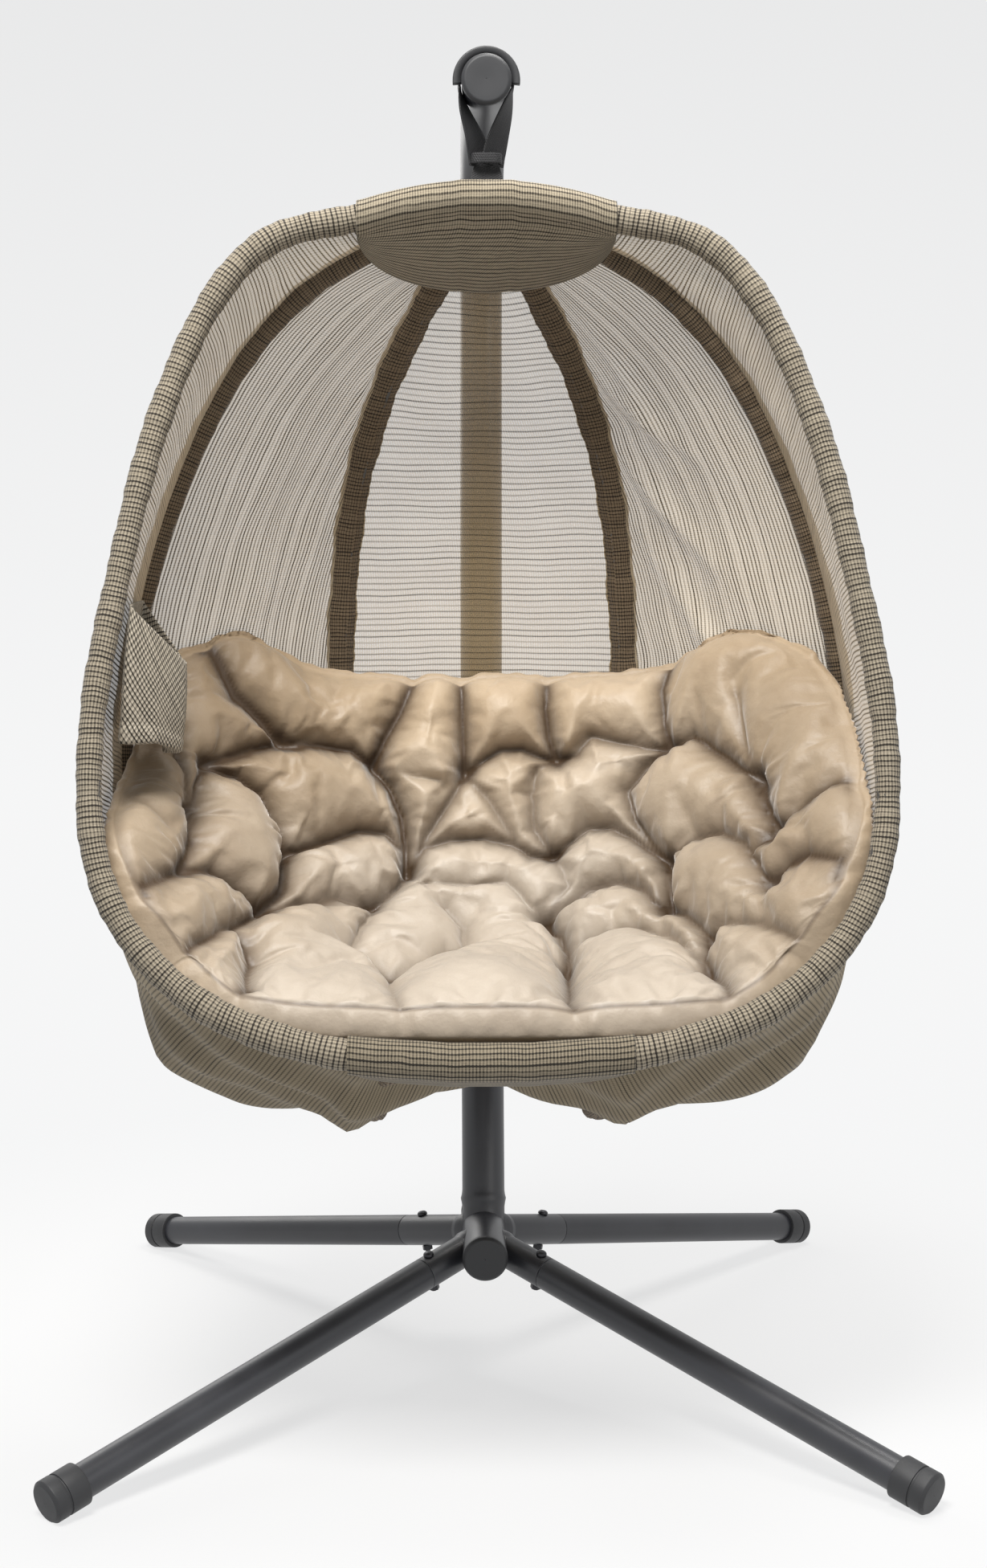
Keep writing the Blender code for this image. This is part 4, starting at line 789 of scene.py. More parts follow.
# Cushion: its middle line (y, z) from lip to back, its side edges, and how steeply it rises to them
CUSHION_LINE = ((-0.508, 0.614), (-0.430, 0.59775), (-0.330, 0.58575), (-0.235, 0.5895), (-0.145, 0.619),
                (-0.080, 0.675), (-0.030, 0.765), (0.004, 0.880), (0.018, 1.005))
EDGE_RIGHT = ((0.376, -0.458, 0.676), (0.425, -0.447, 0.738), (0.450, -0.425, 0.796), (0.463, -0.387, 0.851),
              (0.469, -0.330, 0.899), (0.467, -0.268, 0.944), (0.455, -0.208, 0.982), (0.428, -0.150, 1.012))
EDGE_LEFT = ((0.376, -0.458, 0.676), (0.425, -0.447, 0.734), (0.450, -0.425, 0.787), (0.462, -0.382, 0.832),
             (0.463, -0.318, 0.864), (0.456, -0.242, 0.892), (0.440, -0.172, 0.942), (0.415, -0.128, 1.004))
BOWL_POWER = ((-1, -0.5, 0, 0.6, 1), (5.0, 2.7, 2.0, 2.4, 3.4))
CUSHION_GRID = 210
SEAM_RISE, SEAM_DROP = 0.018, 0.021
# Cloth: frames, the furthest it may move, and its settings
CLOTH_FRAMES, CLOTH_MOST, CLOTH_SLACK = 20, 0.028, 0.085
CLOTH = dict(quality=5, mass=0.25, tension_stiffness=12.0, compression_stiffness=12.0, shear_stiffness=4.0,
             bending_stiffness=0.035, tension_damping=8.0, compression_damping=8.0, shear_damping=8.0,
             air_damping=3.0, vertex_group_mass="held", pin_stiffness=1.0, shrink_min=-CLOTH_SLACK,
             shrink_max=-CLOTH_SLACK, use_pressure=True, uniform_pressure_force=4.0)
# Heights of the filling above and below, dips, pleats and drawn edges, and room to the panels
FILL_RISE, FILL_DROP, TUFT_DIP, PLEAT_RISE, EDGE_PULL, PANEL_ROOM = 0.052, 0.030, 0.010, 0.0034, 0.014, 0.007
# A crease's rounding at its bottom, its reach, and its painted shade, a dark core and a softer fringe, as
# shares and widths
CREASE_ROUND, CREASE_CUT, CREASE_REACH = 0.005, 0.004, 0.062
CREASE_SHADE_CORE, CREASE_SHADE_FRINGE = (0.72, 0.0060), (0.28, 0.022)
# Tufts as (across, along) places, and creases as a depth and the places they run through, in thousandths
TUFTS = ((-855, 490), (-620, 685), (-330, 665), (-55, 645), (210, 685), (545, 665), (795, 360), (-870, 145),
         (-585, 190), (-220, 240), (195, 310), (525, 160), (825, 0), (-860, -230), (-635, -180), (-325, 30),
         (515, -80), (810, -260), (-745, -925), (-260, -495), (215, -320), (625, -635), (635, -395), (170, 0))
CREASES = (
    (1, (-620, 680, -700, 750, -790, 810, -855, 915, -900, 1000, -915, 1000)),
    (0.8, (-620, 680, -715, 615, -795, 550, -855, 490)),
    (0.8, (-620, 675, -505, 710, -400, 715, -330, 655)),
    (1, (-330, 660, -295, 775, -255, 875, -225, 990, -220, 1000)),
    (1, (-330, 655, -275, 575, -240, 480, -225, 360, -220, 240)),
    (1, (-55, 640, -60, 765, -65, 895, -70, 1000)),
    (0.8, (-55, 640, -110, 520, -170, 390, -220, 240)),
    (0.4, (-330, 655, -220, 625, -120, 605, -55, 640)),
    (0.8, (-855, 490, -755, 485, -680, 435, -635, 325, -585, 190)),
    (0.7, (-855, 490, -865, 365, -870, 160)),
    (0.8, (-585, 190, -470, 310, -375, 390, -290, 400, -235, 335, -220, 240)),
    (1, (-585, 190, -580, 5, -615, -100, -635, -180)),
    (0.7, (-635, -180, -540, -60, -425, 25, -325, 30)),
    (0.7, (-220, 240, -255, 160, -325, 30)),
    (0.8, (-860, -230, -785, -130, -705, -145, -635, -180)),
    (0.9, (-870, 160, -845, -20, -860, -230)),
    (0.8, (-860, -230, -940, -430, -1000, -560, -1000, -600)),
    (0.8, (-635, -180, -720, -395, -680, -495, -670, -585, -740, -925)),
    (0.7, (-720, -395, -840, -635, -1000, -955)),
    (0.7, (-740, -925, -800, -1000, -805, -1000)),
    (0.5, (-325, 30, -365, -115, -380, -295, -260, -490)),
    (0.5, (-260, -490, -200, -420, -105, -245, -60, -230)),
    (0.4, (-325, 30, -280, 130, -170, 180, -50, 185, 60, 195, 170, 0)),
    (0.6, (-950, 515, -905, 395, -870, 160)),
    (0.3, (-1000, -45, -1000, 40, -995, 15, -920, -80, -870, 160)),
    (0.5, (-260, -490, -265, -1000)),
    (0.5, (-115, 55, -65, -50, -60, -230)),
    (1, (205, 690, 185, 780, 180, 890, 190, 985)),
    (0.9, (-55, 645, -5, 690, 45, 735, 105, 740, 165, 705, 210, 685)),
    (0.8, (205, 690, 265, 705, 310, 780, 440, 715, 545, 655)),
    (0.9, (545, 655, 540, 780, 545, 920, 580, 1000)),
    (0.8, (545, 655, 625, 670, 710, 535, 795, 365)),
    (0.4, (795, 365, 775, 525, 780, 740)),
    (0.9, (795, 365, 805, 195, 825, 5)),
    (0.6, (825, 5, 765, -35, 785, -145, 810, -265)),
    (0.7, (810, -265, 855, -220, 905, -230, 990, -400, 1000, -515)),
    (0.6, (825, 5, 890, 40, 965, 85, 1000, 65, 1000, 15)),
    (0.8, (545, 655, 465, 600, 415, 530, 435, 405, 490, 255, 525, 160)),
    (0.7, (205, 690, 150, 665, 135, 560, 140, 425, 195, 310)),
    (0.8, (195, 310, 295, 405, 365, 390, 425, 325, 525, 160)),
    (1, (525, 160, 525, 25, 515, -80)),
    (0.6, (525, 160, 615, 190, 690, 155, 755, -5, 810, -265)),
    (0.5, (195, 310, 245, 155, 205, 60, 170, 0)),
    (0.7, (515, -80, 455, 35, 395, 120, 300, 125, 235, 50, 170, 0)),
    (0.9, (170, 0, 210, -70, 225, -195, 215, -320)),
    (0.7, (515, -80, 570, -165, 605, -265, 635, -395)),
    (0.5, (635, -395, 660, -335, 725, -410, 825, -540, 1000, -895)),
    (0.8, (635, -395, 610, -495, 625, -640)),
    (0.5, (215, -320, 280, -180, 360, -165, 425, -175, 520, -275, 625, -640)),
    (0.9, (215, -320, 215, -815, 245, -1000)),
    (0.8, (625, -640, 705, -840, 755, -1000, 730, -1000)),
    (0.8, (-220, 240, -175, 355, -100, 390, -5, 400, 80, 370, 130, 325, 195, 310)),
    (0.6, (-55, 645, 15, 535, 90, 365, 195, 310)),
)


def read_curve(curve, b):
    """Points of an even curve for places from -1 to 1."""
    place = (b + 1) / 2 * (len(curve) - 1)
    return np.stack([np.interp(place, np.arange(len(curve)), curve[:, k]) for k in range(3)], -1)


def cushion_base(a, b):
    """The pad's middle surface for a square grid: a runs across, b from the lip to the back."""
    middle = read_curve(spline([(0, y, z) for y, z in CUSHION_LINE], 203)[:201], b)
    right, left = (read_curve(spline(edge, 200), b) for edge in (EDGE_RIGHT, EDGE_LEFT))
    side = np.where((a > 0)[..., None], right, left)
    share = np.abs(a)
    point = middle + (side - middle) * (share ** np.interp(b, *BOWL_POWER))[..., None]
    point[..., 0] = side[..., 0] * a * (1.12 - 0.12 * a * a)
    point[..., 2] += 0.058 * np.exp(-((share - 0.80) / 0.22) ** 2) * np.clip((b - 0.2) / 0.8, 0, 1) ** 2
    return point


def upward_normals(points):
    """Unit normals of a grid of points, those of the outer rows taken from further in."""
    normal = unit(np.cross(np.gradient(points, axis=1), np.gradient(points, axis=0)))
    if normal[len(points) // 4, points.shape[1] // 2, 2] < 0:
        normal = -normal
    keep = max(3, len(points) // 28)
    rows = np.clip(np.arange(len(points)), keep, len(points) - 1 - keep)
    columns = np.clip(np.arange(points.shape[1]), keep, points.shape[1] - 1 - keep)
    return normal[rows][:, columns]


def nearest(points, others):
    """Distance from each point to the nearest of some others."""
    flat = points.reshape(-1, 3)
    best = np.full(len(flat), 1e9)
    for k in range(0, len(others), 16):
        away = flat[:, None] - others[None, k:k + 16]
        best = np.minimum(best, np.sqrt((away ** 2).sum(-1)).min(1))
    return best.reshape(points.shape[:-1])


def crease_map(base):
    """How far each point is out of the creases, 0 in one and 1 well away, and the painted shade in and beside
    each crease.
    """
    rise = np.ones(base.shape[:2])
    crease_shade = np.zeros(base.shape[:2])
    for weight, row in CREASES:
        row = np.reshape(row, (-1, 2)) / 1000
        place = along(row)
        row = resample(row, place, np.linspace(0, place[-1], max(4, int(place[-1] / 0.005))))
        away = nearest(base, cushion_base(row[:, 0], row[:, 1]))
        away = np.sqrt(away ** 2 + CREASE_ROUND ** 2) - CREASE_CUT
        reach = 1 - np.clip(away / CREASE_REACH, 0, 1)
        rise = np.minimum(rise, 1 - weight * (1 - np.sqrt(1 - reach ** 2)))
        # Painted shade: a dark core in each crease and a softer fringe beside it
        dark = [share * np.exp(-away / width) for share, width in (CREASE_SHADE_CORE, CREASE_SHADE_FRINGE)]
        crease_shade = np.maximum(crease_shade, weight * (dark[0] + dark[1]))
    return rise, crease_shade


def tuft_map(base, a, b):
    """Dips at the tufts and folds that run out from them."""
    dip = np.zeros(base.shape[:2])
    pleats = np.zeros(base.shape[:2])
    for k, (ta, tb) in enumerate(np.array(TUFTS) / 1000):
        centre = cushion_base(np.array([ta]), np.array([tb]))[0]
        away = np.linalg.norm(base - centre, axis=-1)
        turn = np.arctan2((b - tb) * 0.40, (a - ta) * 0.47)
        dip = np.maximum(dip, np.exp(-(away / 0.016) ** 2))
        wave = np.sin(turn * (5 + k % 3) + 1.7 * k) + 0.6 * np.sin(turn * (9 + k % 4) + 0.9 * k)
        pleats += wave * np.exp(-((away - 0.034) / 0.026) ** 2)
    return dip, pleats


def settled(top, held):
    """The top sheet let go as slightly larger cloth, blown up from inside and held at its seams."""
    mesh = build_mesh("cushion_top", top.reshape(-1, 3), grid_faces(*top.shape[:2]))
    sheet = bpy.data.objects.new("cushion_top", mesh)
    scene = bpy.context.scene
    scene.collection.objects.link(sheet)
    group = sheet.vertex_groups.new(name="held")
    for level in range(1, 11):
        near = np.flatnonzero(np.round(held.ravel() * 10) == level)
        group.add(near.tolist(), level / 10, "REPLACE")
    cloth = sheet.modifiers.new("cloth", "CLOTH")
    for key, value in CLOTH.items():
        setattr(cloth.settings, key, value)
    cloth.settings.effector_weights.gravity = 0.0
    cloth.collision_settings.use_collision = False
    cloth.collision_settings.use_self_collision = False
    cloth.point_cache.frame_start, cloth.point_cache.frame_end = 1, CLOTH_FRAMES
    for number in range(1, CLOTH_FRAMES + 1):
        scene.frame_set(number)
    shown = sheet.evaluated_get(bpy.context.evaluated_depsgraph_get())
    after = np.zeros(len(mesh.vertices) * 3)
    shown.data.vertices.foreach_get("co", after)
    scene.frame_set(1)
    bpy.data.objects.remove(sheet)
    bpy.data.meshes.remove(mesh)
    move = after.reshape(top.shape) - top
    size = np.linalg.norm(move, axis=-1, keepdims=True)
    return top + move * np.minimum(1.0, CLOTH_MOST / np.maximum(size, 1e-9))


def smoothed(grid, times):
    """A grid of points eased towards its neighbours, its edge kept."""
    for _ in range(times):
        around = grid[:-2, 1:-1] + grid[2:, 1:-1] + grid[1:-1, :-2] + grid[1:-1, 2:]
        eased = grid.copy()
        eased[1:-1, 1:-1] = 0.5 * grid[1:-1, 1:-1] + 0.125 * around
        grid = eased
    return grid


def kept_inside(points, room):
    """Points moved in off the panels that they would pass through."""
    for grid, inwards in SHELLS:
        tree = KDTree(len(grid))
        for k, place in enumerate(grid):
            tree.insert(place, k)
        tree.balance()
        near = np.flatnonzero((points >= grid.min(0) - 0.06).all(1) & (points <= grid.max(0) + 0.06).all(1))
        for k in near:
            _, number, away = tree.find(points[k])
            if away < 0.09:
                lack = room - float((points[k] - grid[number]) @ inwards[number])
                if lack > 0:
                    points[k] += inwards[number] * lack
    return points


def build_cushion():
    """A boxed pad pressed into the seat, drawn in at its tufts and creased between them."""
    a, b = np.meshgrid(np.linspace(-1, 1, CUSHION_GRID), np.linspace(-1, 1, CUSHION_GRID))
    base = cushion_base(a, b)
    normal = upward_normals(base)
    edge = np.minimum(1.0, np.sqrt(a * a + b * b - a * a * b * b))
    thin = 1 - 0.50 * np.maximum(0.0, -b)
    crown = np.sqrt(np.maximum(0.0, 1 - edge ** 6))
    rise, crease_shade = crease_map(base)
    dip, pleats = tuft_map(base, a, b)
    inward = unit(cushion_base(a * 0.9, b * 0.9) - base + 1e-9)
    pull = EDGE_PULL * (1 - rise) * edge ** 10
    behind = np.interp(b, (-0.75, -0.10), (0.0, 0.024))
    filling = FILL_RISE * rise - TUFT_DIP * dip + PLEAT_RISE * pleats
    height = SEAM_RISE * (0.4 + 0.6 * rise) + crown * thin * filling
    height = height - behind * (1 - crown) * (0.4 + 0.6 * rise)
    top = base + normal * height[..., None] + inward * pull[..., None]
    sewn = np.clip(1.5 * crease_shade - 0.35, 0, 1)
    held = np.clip(np.maximum(np.maximum(dip * 1.3, sewn), np.where(edge > 0.995, 1.0, 0.0)), 0, 1)
    top = settled(top, held)
    top = smoothed(top, 2)
    drop = SEAM_DROP + FILL_DROP * crown * thin
    under = base - normal * drop[..., None] + inward * (0.5 * pull)[..., None]
    points, faces, rings = closed_pad(top, under, normal, base)
    points = kept_inside(points, PANEL_ROOM)
    mesh = build_mesh("seat_cushion", points, faces)
    piece = add("seat_cushion", mesh, "chair", SATIN)
    # Painted shade on the cushion's sides, which face across, and on its back left
    side_shade = 0.32 * np.clip((np.abs(normal[..., 0]) - 0.30) / 0.5, 0, 1)
    side_shade = np.maximum(side_shade, 0.40 * np.clip((-0.15 - a) / 0.4, 0, 1) * np.clip(b / 0.5, 0, 1))
    # Painted shade on the points: 0.22 on the under sheet and band, and on the top dark in creases, at tufts
    # and on the sides. The top's edge is a dark seam line: its own dark joint and painted shade in its
    # groove, darker at the front.
    values = np.full(len(mesh.vertices), 0.22, np.float32)
    drawn = np.maximum(1.3 * crease_shade - 0.08, 0) + 0.5 * dip + side_shade
    drawn = np.where(edge > 0.999, np.interp(b, (-0.5, 0.0), (0.70, 0.20)), drawn)
    values[:crease_shade.size] = np.clip(drawn, 0, 1).ravel()
    # Painted shade on the band's first ring, deeper at the front where it faces down
    values[rings[1]] = np.interp(b.ravel()[rings[0]], (-0.5, 0.0), (0.55, 0.25))
    mesh.attributes.new("crease_shade", "FLOAT", "POINT").data.foreach_set("value", values)
    # Painted sheen: the top is paler where it faces up, less on its shaded sides, and the band takes part of
    # it from the top's edge
    pale = np.zeros(len(mesh.vertices), np.float32)
    pale[:crease_shade.size] = (np.clip((normal[..., 2] + 0.10) / 0.65, 0, 1) * (1 - 1.6 * side_shade)).ravel()
    for ring in rings[1:-1]:
        pale[ring] = 0.8 * pale[rings[0]]
    mesh.attributes.new("pale", "FLOAT", "POINT").data.foreach_set("value", pale)


def ring_order(rows, columns):
    """Grid numbers round the edge of a grid."""
    first = [(0, j) for j in range(columns - 1)]
    second = [(i, columns - 1) for i in range(rows - 1)]
    third = [(rows - 1, j) for j in range(columns - 1, 0, -1)]
    fourth = [(i, 0) for i in range(rows - 1, 0, -1)]
    return np.array(first + second + third + fourth)


def closed_pad(top, under, normal, base):
    """Top and under sheets joined by a boxed side band."""
    rows, columns = top.shape[:2]
    count = rows * columns
    quads = grid_faces(rows, columns)
    order = ring_order(rows, columns)
    numbers = order[:, 0] * columns + order[:, 1]
    high, low = top[order[:, 0], order[:, 1]], under[order[:, 0], order[:, 1]]
    inside = base[np.clip(order[:, 0], 6, rows - 7), np.clip(order[:, 1], 6, columns - 7)]
    facing = normal[order[:, 0], order[:, 1]]
    away = base[order[:, 0], order[:, 1]] - inside
    away = unit(away - facing * (away * facing).sum(1, keepdims=True))
    points = [top.reshape(-1, 3), under.reshape(-1, 3)]
    faces = [quads, quads[:, ::-1] + count]
    rings = [numbers]
    place = along(np.vstack([high, high[:1]]))[:-1]
    pleat = ripple(place, (0.0009, 150.0, 0.0), (0.0010, 87.0, 1.0), (0.0008, 231.0, 2.0))
    for k, share in enumerate((0.05, 0.12, 0.24, 0.38, 0.5, 0.62, 0.76, 0.88, 0.95)):
        swell = 0.0075 * sin(pi * share) ** 0.45 + pleat * sin(pi * share)
        points.append(high + (low - high) * share + away * swell[:, None])
        rings.append(2 * count + k * len(order) + np.arange(len(order)))
    rings.append(numbers + count)
    for upper, lower in zip(rings, rings[1:]):
        faces.append(np.stack([np.roll(upper, -1), upper, lower, np.roll(lower, -1)], 1))
    return np.vstack(points), np.vstack(faces), rings


# Strap

WEBBING_THICKNESS = 0.0036
# The binding below the arm: half sizes and height of its ring, width and thickness of its webbing
BINDING_RING, BINDING_BAND = (0.0192, 0.0165, 1.6755), (0.013, 0.0026)


def squared(wave, power):
    """A sine or cosine drawn out towards its ends, for rings with flatter sides."""
    return np.sign(wave) * np.abs(wave) ** power


def band(name, path, across, width, thickness):
    """Flat webbing on a path, with rolled edges: across gives the width's direction at each point."""
    direction = tangents(path)
    across = unit(across - direction * (across * direction).sum(1, keepdims=True))
    facing = np.cross(direction, across)
    width = np.broadcast_to(width, len(path))[:, None]
    turn = 2 * pi * np.arange(28) / 28
    shape_x, shape_y = squared(np.cos(turn), 0.30), squared(np.sin(turn), 0.45)
    rings = (path[:, None] + across[:, None] * (width / 2 * shape_x)[..., None]
             + facing[:, None] * (thickness / 2 * shape_y)[None, :, None])
    u = np.concatenate([shape_x, shape_x[:1]])[None] * width / 2
    v = np.repeat(along(path)[:, None], 29, 1)
    return grid_mesh(name, rings, np.stack([np.broadcast_to(u, v.shape), v], -1), (False, True))


def merged(name, meshes):
    """Several meshes as one."""
    joined = bmesh.new()
    for mesh in meshes:
        joined.from_mesh(mesh)
    whole = bpy.data.meshes.new(name)
    joined.to_mesh(whole)
    joined.free()
    return whole


def turned_across(path, low, high, most):
    """The webbing's width turns from front-to-back towards sideways as it comes down."""
    angle = most * np.clip((high - path[:, 2]) / (high - low), 0, 1) ** 0.8
    return np.stack([np.sin(angle), np.cos(angle), 0 * angle], 1)


def build_strap():
    """The loop over the arm, bound below it, and the tail round the middle hoop."""
    y = HANG[0]
    hold = POST_RADIUS + 0.0034
    arc = [(hold * cos(t), y, ARM_HEIGHT + hold * sin(t)) for t in np.radians(np.linspace(-4, 184, 24))]
    right = [(0.0085, y - 0.002, 1.668), (0.0100, y - 0.002, 1.680), (0.0165, y - 0.001, 1.704),
             (0.0262, y, 1.735), (0.0322, y, 1.757)]
    left = [(-0.0322, y, 1.757), (-0.0262, y, 1.735), (-0.0145, y + 0.001, 1.704),
            (-0.0085, y + 0.003, 1.680), (-0.0075, y + 0.003, 1.668)]
    path = spline(right + arc + left, 260)
    across = turned_across(path, 1.675, 1.762, radians(52))
    narrow = np.interp(path[:, 2], (1.668, 1.69, 1.74), (0.036, 0.040, 0.045))
    loop = band("strap_loop", path, across, narrow, WEBBING_THICKNESS)
    turn = np.linspace(0, 2 * pi, 73)
    half_x, half_y, height = BINDING_RING
    ring = np.stack([half_x * squared(np.cos(turn), 0.6), y + half_y * squared(np.sin(turn), 0.6),
                     0 * turn + height], 1)
    binding = band("strap_binding", ring, np.broadcast_to((0.0, 0.0, 1.0), ring.shape), *BINDING_BAND)
    add("strap_loop", merged("strap_loop", (loop, binding)), "strap_loop", WEBBING)
    top, grip = HANG[1], 0.0157
    half = [(y - 0.0032, 1.6670), (y - 0.0036, 1.655), (y - 0.0072, 1.640), (y - 0.0135, 1.622)]
    bend = [(y + grip * cos(t), top + grip * sin(t)) for t in np.radians(np.linspace(190, 350, 20))]
    other = [(2 * y - py, z) for py, z in reversed(half)]
    path = spline([(0.001, py, z) for py, z in half + bend + other], 200)
    wide = np.interp(path[:, 2], (1.60, 1.635, 1.655, 1.667), (0.042, 0.044, 0.040, 0.033))
    tail = band("strap_tail", path, np.broadcast_to((1.0, 0.0, 0.0), path.shape), wide, WEBBING_THICKNESS)
    add("strap_tail", tail, "strap_tail", WEBBING)


# Stand

def leg_places():
    """Where each leg starts and how it lies: +Z along the leg, +Y on its upper side; and its length."""
    run = hypot(FOOT_REACH[0], FOOT_REACH[1] - LEG_START_Y)
    foot_z = FOOT_RADIUS
    for _ in range(8):
        slope = (HUB_HEIGHT - foot_z) / hypot(run, HUB_HEIGHT - foot_z)
        foot_z = FOOT_RADIUS * sqrt(1 - slope ** 2) - FOOT_FLAT
    places = {}
    for end, sign_y in (("front", -1), ("rear", 1)):
        for side, sign_x in (("left", -1), ("right", 1)):
            start = Vector((0.0, sign_y * LEG_START_Y, HUB_HEIGHT))
            foot = Vector((sign_x * FOOT_REACH[0], sign_y * FOOT_REACH[1], foot_z))
            out = (foot - start).normalized()
            upper = (Vector((0, 0, 1)) - out * out.z).normalized()
            places[end, side] = axes_place(start, upper.cross(out), upper, out), (foot - start).length
    return places


def add_turned(name, profile, place, sides, round_by, material):
    """A turned piece of the stand."""
    add(name, lathe(name, profile, place, sides, round_by), "stand", material)


# Each end's socket length and its bolt's distance from the socket's end
SOCKETS = {"front": (0.122, 0.015), "rear": (0.156, 0.034)}
# A foot's length, how far it passes the leg's end, and its groove's two sides and depth
FOOT_LENGTH, FOOT_PAST_LEG, FOOT_GROOVE, GROOVE_DEPTH = 0.051, 0.0053, (0.023, 0.020), 0.0016


def build_legs():
    """Sockets, legs, bolts and feet."""
    r, f, groove = LEG_RADIUS, FOOT_RADIUS, FOOT_RADIUS - GROOVE_DEPTH
    for (end, side), (place, length) in leg_places().items():
        tag = end + "_" + side
        reach, set_back = SOCKETS[end]
        socket = [(r, 0.012), (r + 0.0022, 0.030), (r + 0.0024, 0.036), (r, 0.044), (r, reach),
                  (r - 0.003, reach)]
        add_turned("leg_socket_" + tag, socket, place, 56, 0.0014, PAINT)
        leg = [(r - 0.003, reach + 0.0003), (r, reach + 0.0003), (r, length - 0.001)]
        add_turned("leg_tube_" + tag, leg, place, 56, 0.0014, PAINT)
        tip = length + FOOT_PAST_LEG
        back, first, last = tip - FOOT_LENGTH, tip - FOOT_GROOVE[0], tip - FOOT_GROOVE[1]
        foot = [(r + 0.0003, back), (f, back), (f, first), (groove, first), (groove, last), (f, last),
                (f, tip - 0.004), (f - 0.004, tip), (0.0005, tip + 0.0002)]
        mesh = lathe("foot_cap_" + tag, foot, place, 56, 0.0012)
        for vertex in mesh.vertices:
            vertex.co.z = max(vertex.co.z, 0.0)
        add("foot_cap_" + tag, mesh, "stand", PLASTIC)
        bolt("leg_bolt_" + tag, r, place @ Matrix.Translation((0, 0, reach - set_back)))


def bolt(name, reach, place):
    """A domed bolt head on a washer, and the bolt's tip below."""
    turned = place @ Matrix.Rotation(-pi / 2, 4, "X")
    top, seat, tip = reach + 0.0063, reach + 0.0003, -(reach + 0.0091)
    profile = [(0.0005, top), (0.0042, top - 0.0004), (0.0068, top - 0.0022), (0.0075, reach + 0.0018),
               (0.0075, seat), (0.0040, seat), (0.0040, tip + 0.0008), (0.0032, tip), (0.0005, tip)]
    add_turned(name, profile, turned, 40, 0.0008, ZINC)


def plug(name, y, z, turn):
    """A moulded cap, rounded and slightly hollow, at the end of a tube that runs front to back."""
    profile = [(0.0285, 0.0003), (0.032, 0.0003), (0.032, 0.008), (0.028, 0.012), (0.018, 0.0118),
               (0.0005, 0.0114)]
    place = Matrix.Translation((0, y, z)) @ Matrix.Rotation(turn, 4, "X")
    add_turned(name, profile, place, 64, 0.0016, PLASTIC)


def filleted(corners, radii, step):
    """A bent line with rounded corners, in the plane across the stand."""
    points = [np.array(corners[0])]
    for before, corner, after, radius in zip(corners, corners[1:], corners[2:], radii):
        before, corner, after = np.array(before), np.array(corner), np.array(after)
        back, ahead = unit(before - corner), unit(after - corner)
        half = np.arccos(np.clip(back @ ahead, -1, 1)) / 2
        middle = corner + unit(back + ahead) * radius / sin(half)
        start = corner + back * radius / np.tan(half) - middle
        finish = corner + ahead * radius / np.tan(half) - middle
        turn = np.arccos(np.clip(unit(start) @ unit(finish), -1, 1))
        count = max(3, int(radius * turn / step))
        for t in np.linspace(0, 1, count):
            points.append(middle + (start * sin((1 - t) * turn) + finish * sin(t * turn)) / sin(turn))
    points.append(np.array(corners[-1]))
    return np.array([(0.0, y, z) for y, z in points])


def build_post():
    """The post in two lengths, its bolt, and the arm's cap and collar."""
    path = even(filleted(POST_CORNERS, POST_BENDS, 0.01), 0.006)
    sideways = np.array((1.0, 0.0, 0.0))
    cut = int(np.argmax(path[:, 2] > POST_JOINT))
    below, above, end = path[cut - 1], path[cut], path[-1:]
    joint = below + (above - below) * (POST_JOINT - below[2]) / (above[2] - below[2])
    lean = unit(above - below)
    lower = np.vstack([path[:cut], joint - lean * 0.0013, joint - lean * 0.0003])
    upper = np.vstack([joint, joint + lean * 0.001, path[cut:-1], end + (0, 0.001, 0), end])
    for name, points in (("post_lower", lower), ("post_upper", upper)):
        size = np.full(len(points), POST_RADIUS)
        if name == "post_lower":
            size[-1] -= 0.0012
            size += 0.0022 * np.exp(-((along(points) - 0.042) / 0.006) ** 2)
        else:
            size[[0, -1]] -= 0.0010
        mesh = tube(name, points, np.broadcast_to(sideways, points.shape), size, size, 64)
        add(name, mesh, "stand", PAINT)
    across = Vector((1, 0, 0))
    place = axes_place(Vector(joint), across.cross(Vector(lean)), across, Vector(lean))
    bolt("post_bolt", POST_RADIUS, place @ Matrix.Translation((0, 0, 0.030)))
    plug("arm_end_cap", ARM_END_Y, ARM_HEIGHT, pi / 2)
    build_collar()


def build_collar():
    """The half ring on the arm that stops the strap."""
    low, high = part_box("strap_collar")
    turn = np.radians(np.linspace(-6, 186, 97))
    inner, outer = POST_RADIUS + 0.0006, COLLAR_RADIUS
    section = [(inner, low.y), (outer, low.y), (outer, high.y), (inner, high.y), (inner, low.y)]
    section = rounded(section, 0.0022)
    rings = np.stack([np.stack([r * np.cos(turn), 0 * turn + y, ARM_HEIGHT + r * np.sin(turn)], 1)
                      for r, y in section], 1)
    u, v = np.meshgrid(np.linspace(0, 0.05, len(section)), along(rings[:, len(section) // 2]))
    collar = grid_mesh("strap_collar", rings, np.stack([u, v], -1))
    collar.set_sharp_from_angle(angle=radians(40))
    weld(collar, close=True)
    add("strap_collar", collar, "stand", PLASTIC)


def build_hub():
    """The hub tube and its caps."""
    half = HUB_LENGTH / 2
    lying = Matrix.Translation((0, 0, HUB_HEIGHT)) @ Matrix.Rotation(pi / 2, 4, "X")
    bore = HUB_RADIUS - 0.002
    profile = [(bore, -half), (HUB_RADIUS, -half), (HUB_RADIUS, half), (bore, half)]
    add_turned("hub_tube", profile, lying, 64, 0.001, PAINT)
    plug("hub_cap_front", -half, HUB_HEIGHT, pi / 2)
    plug("hub_cap_rear", half, HUB_HEIGHT, -pi / 2)


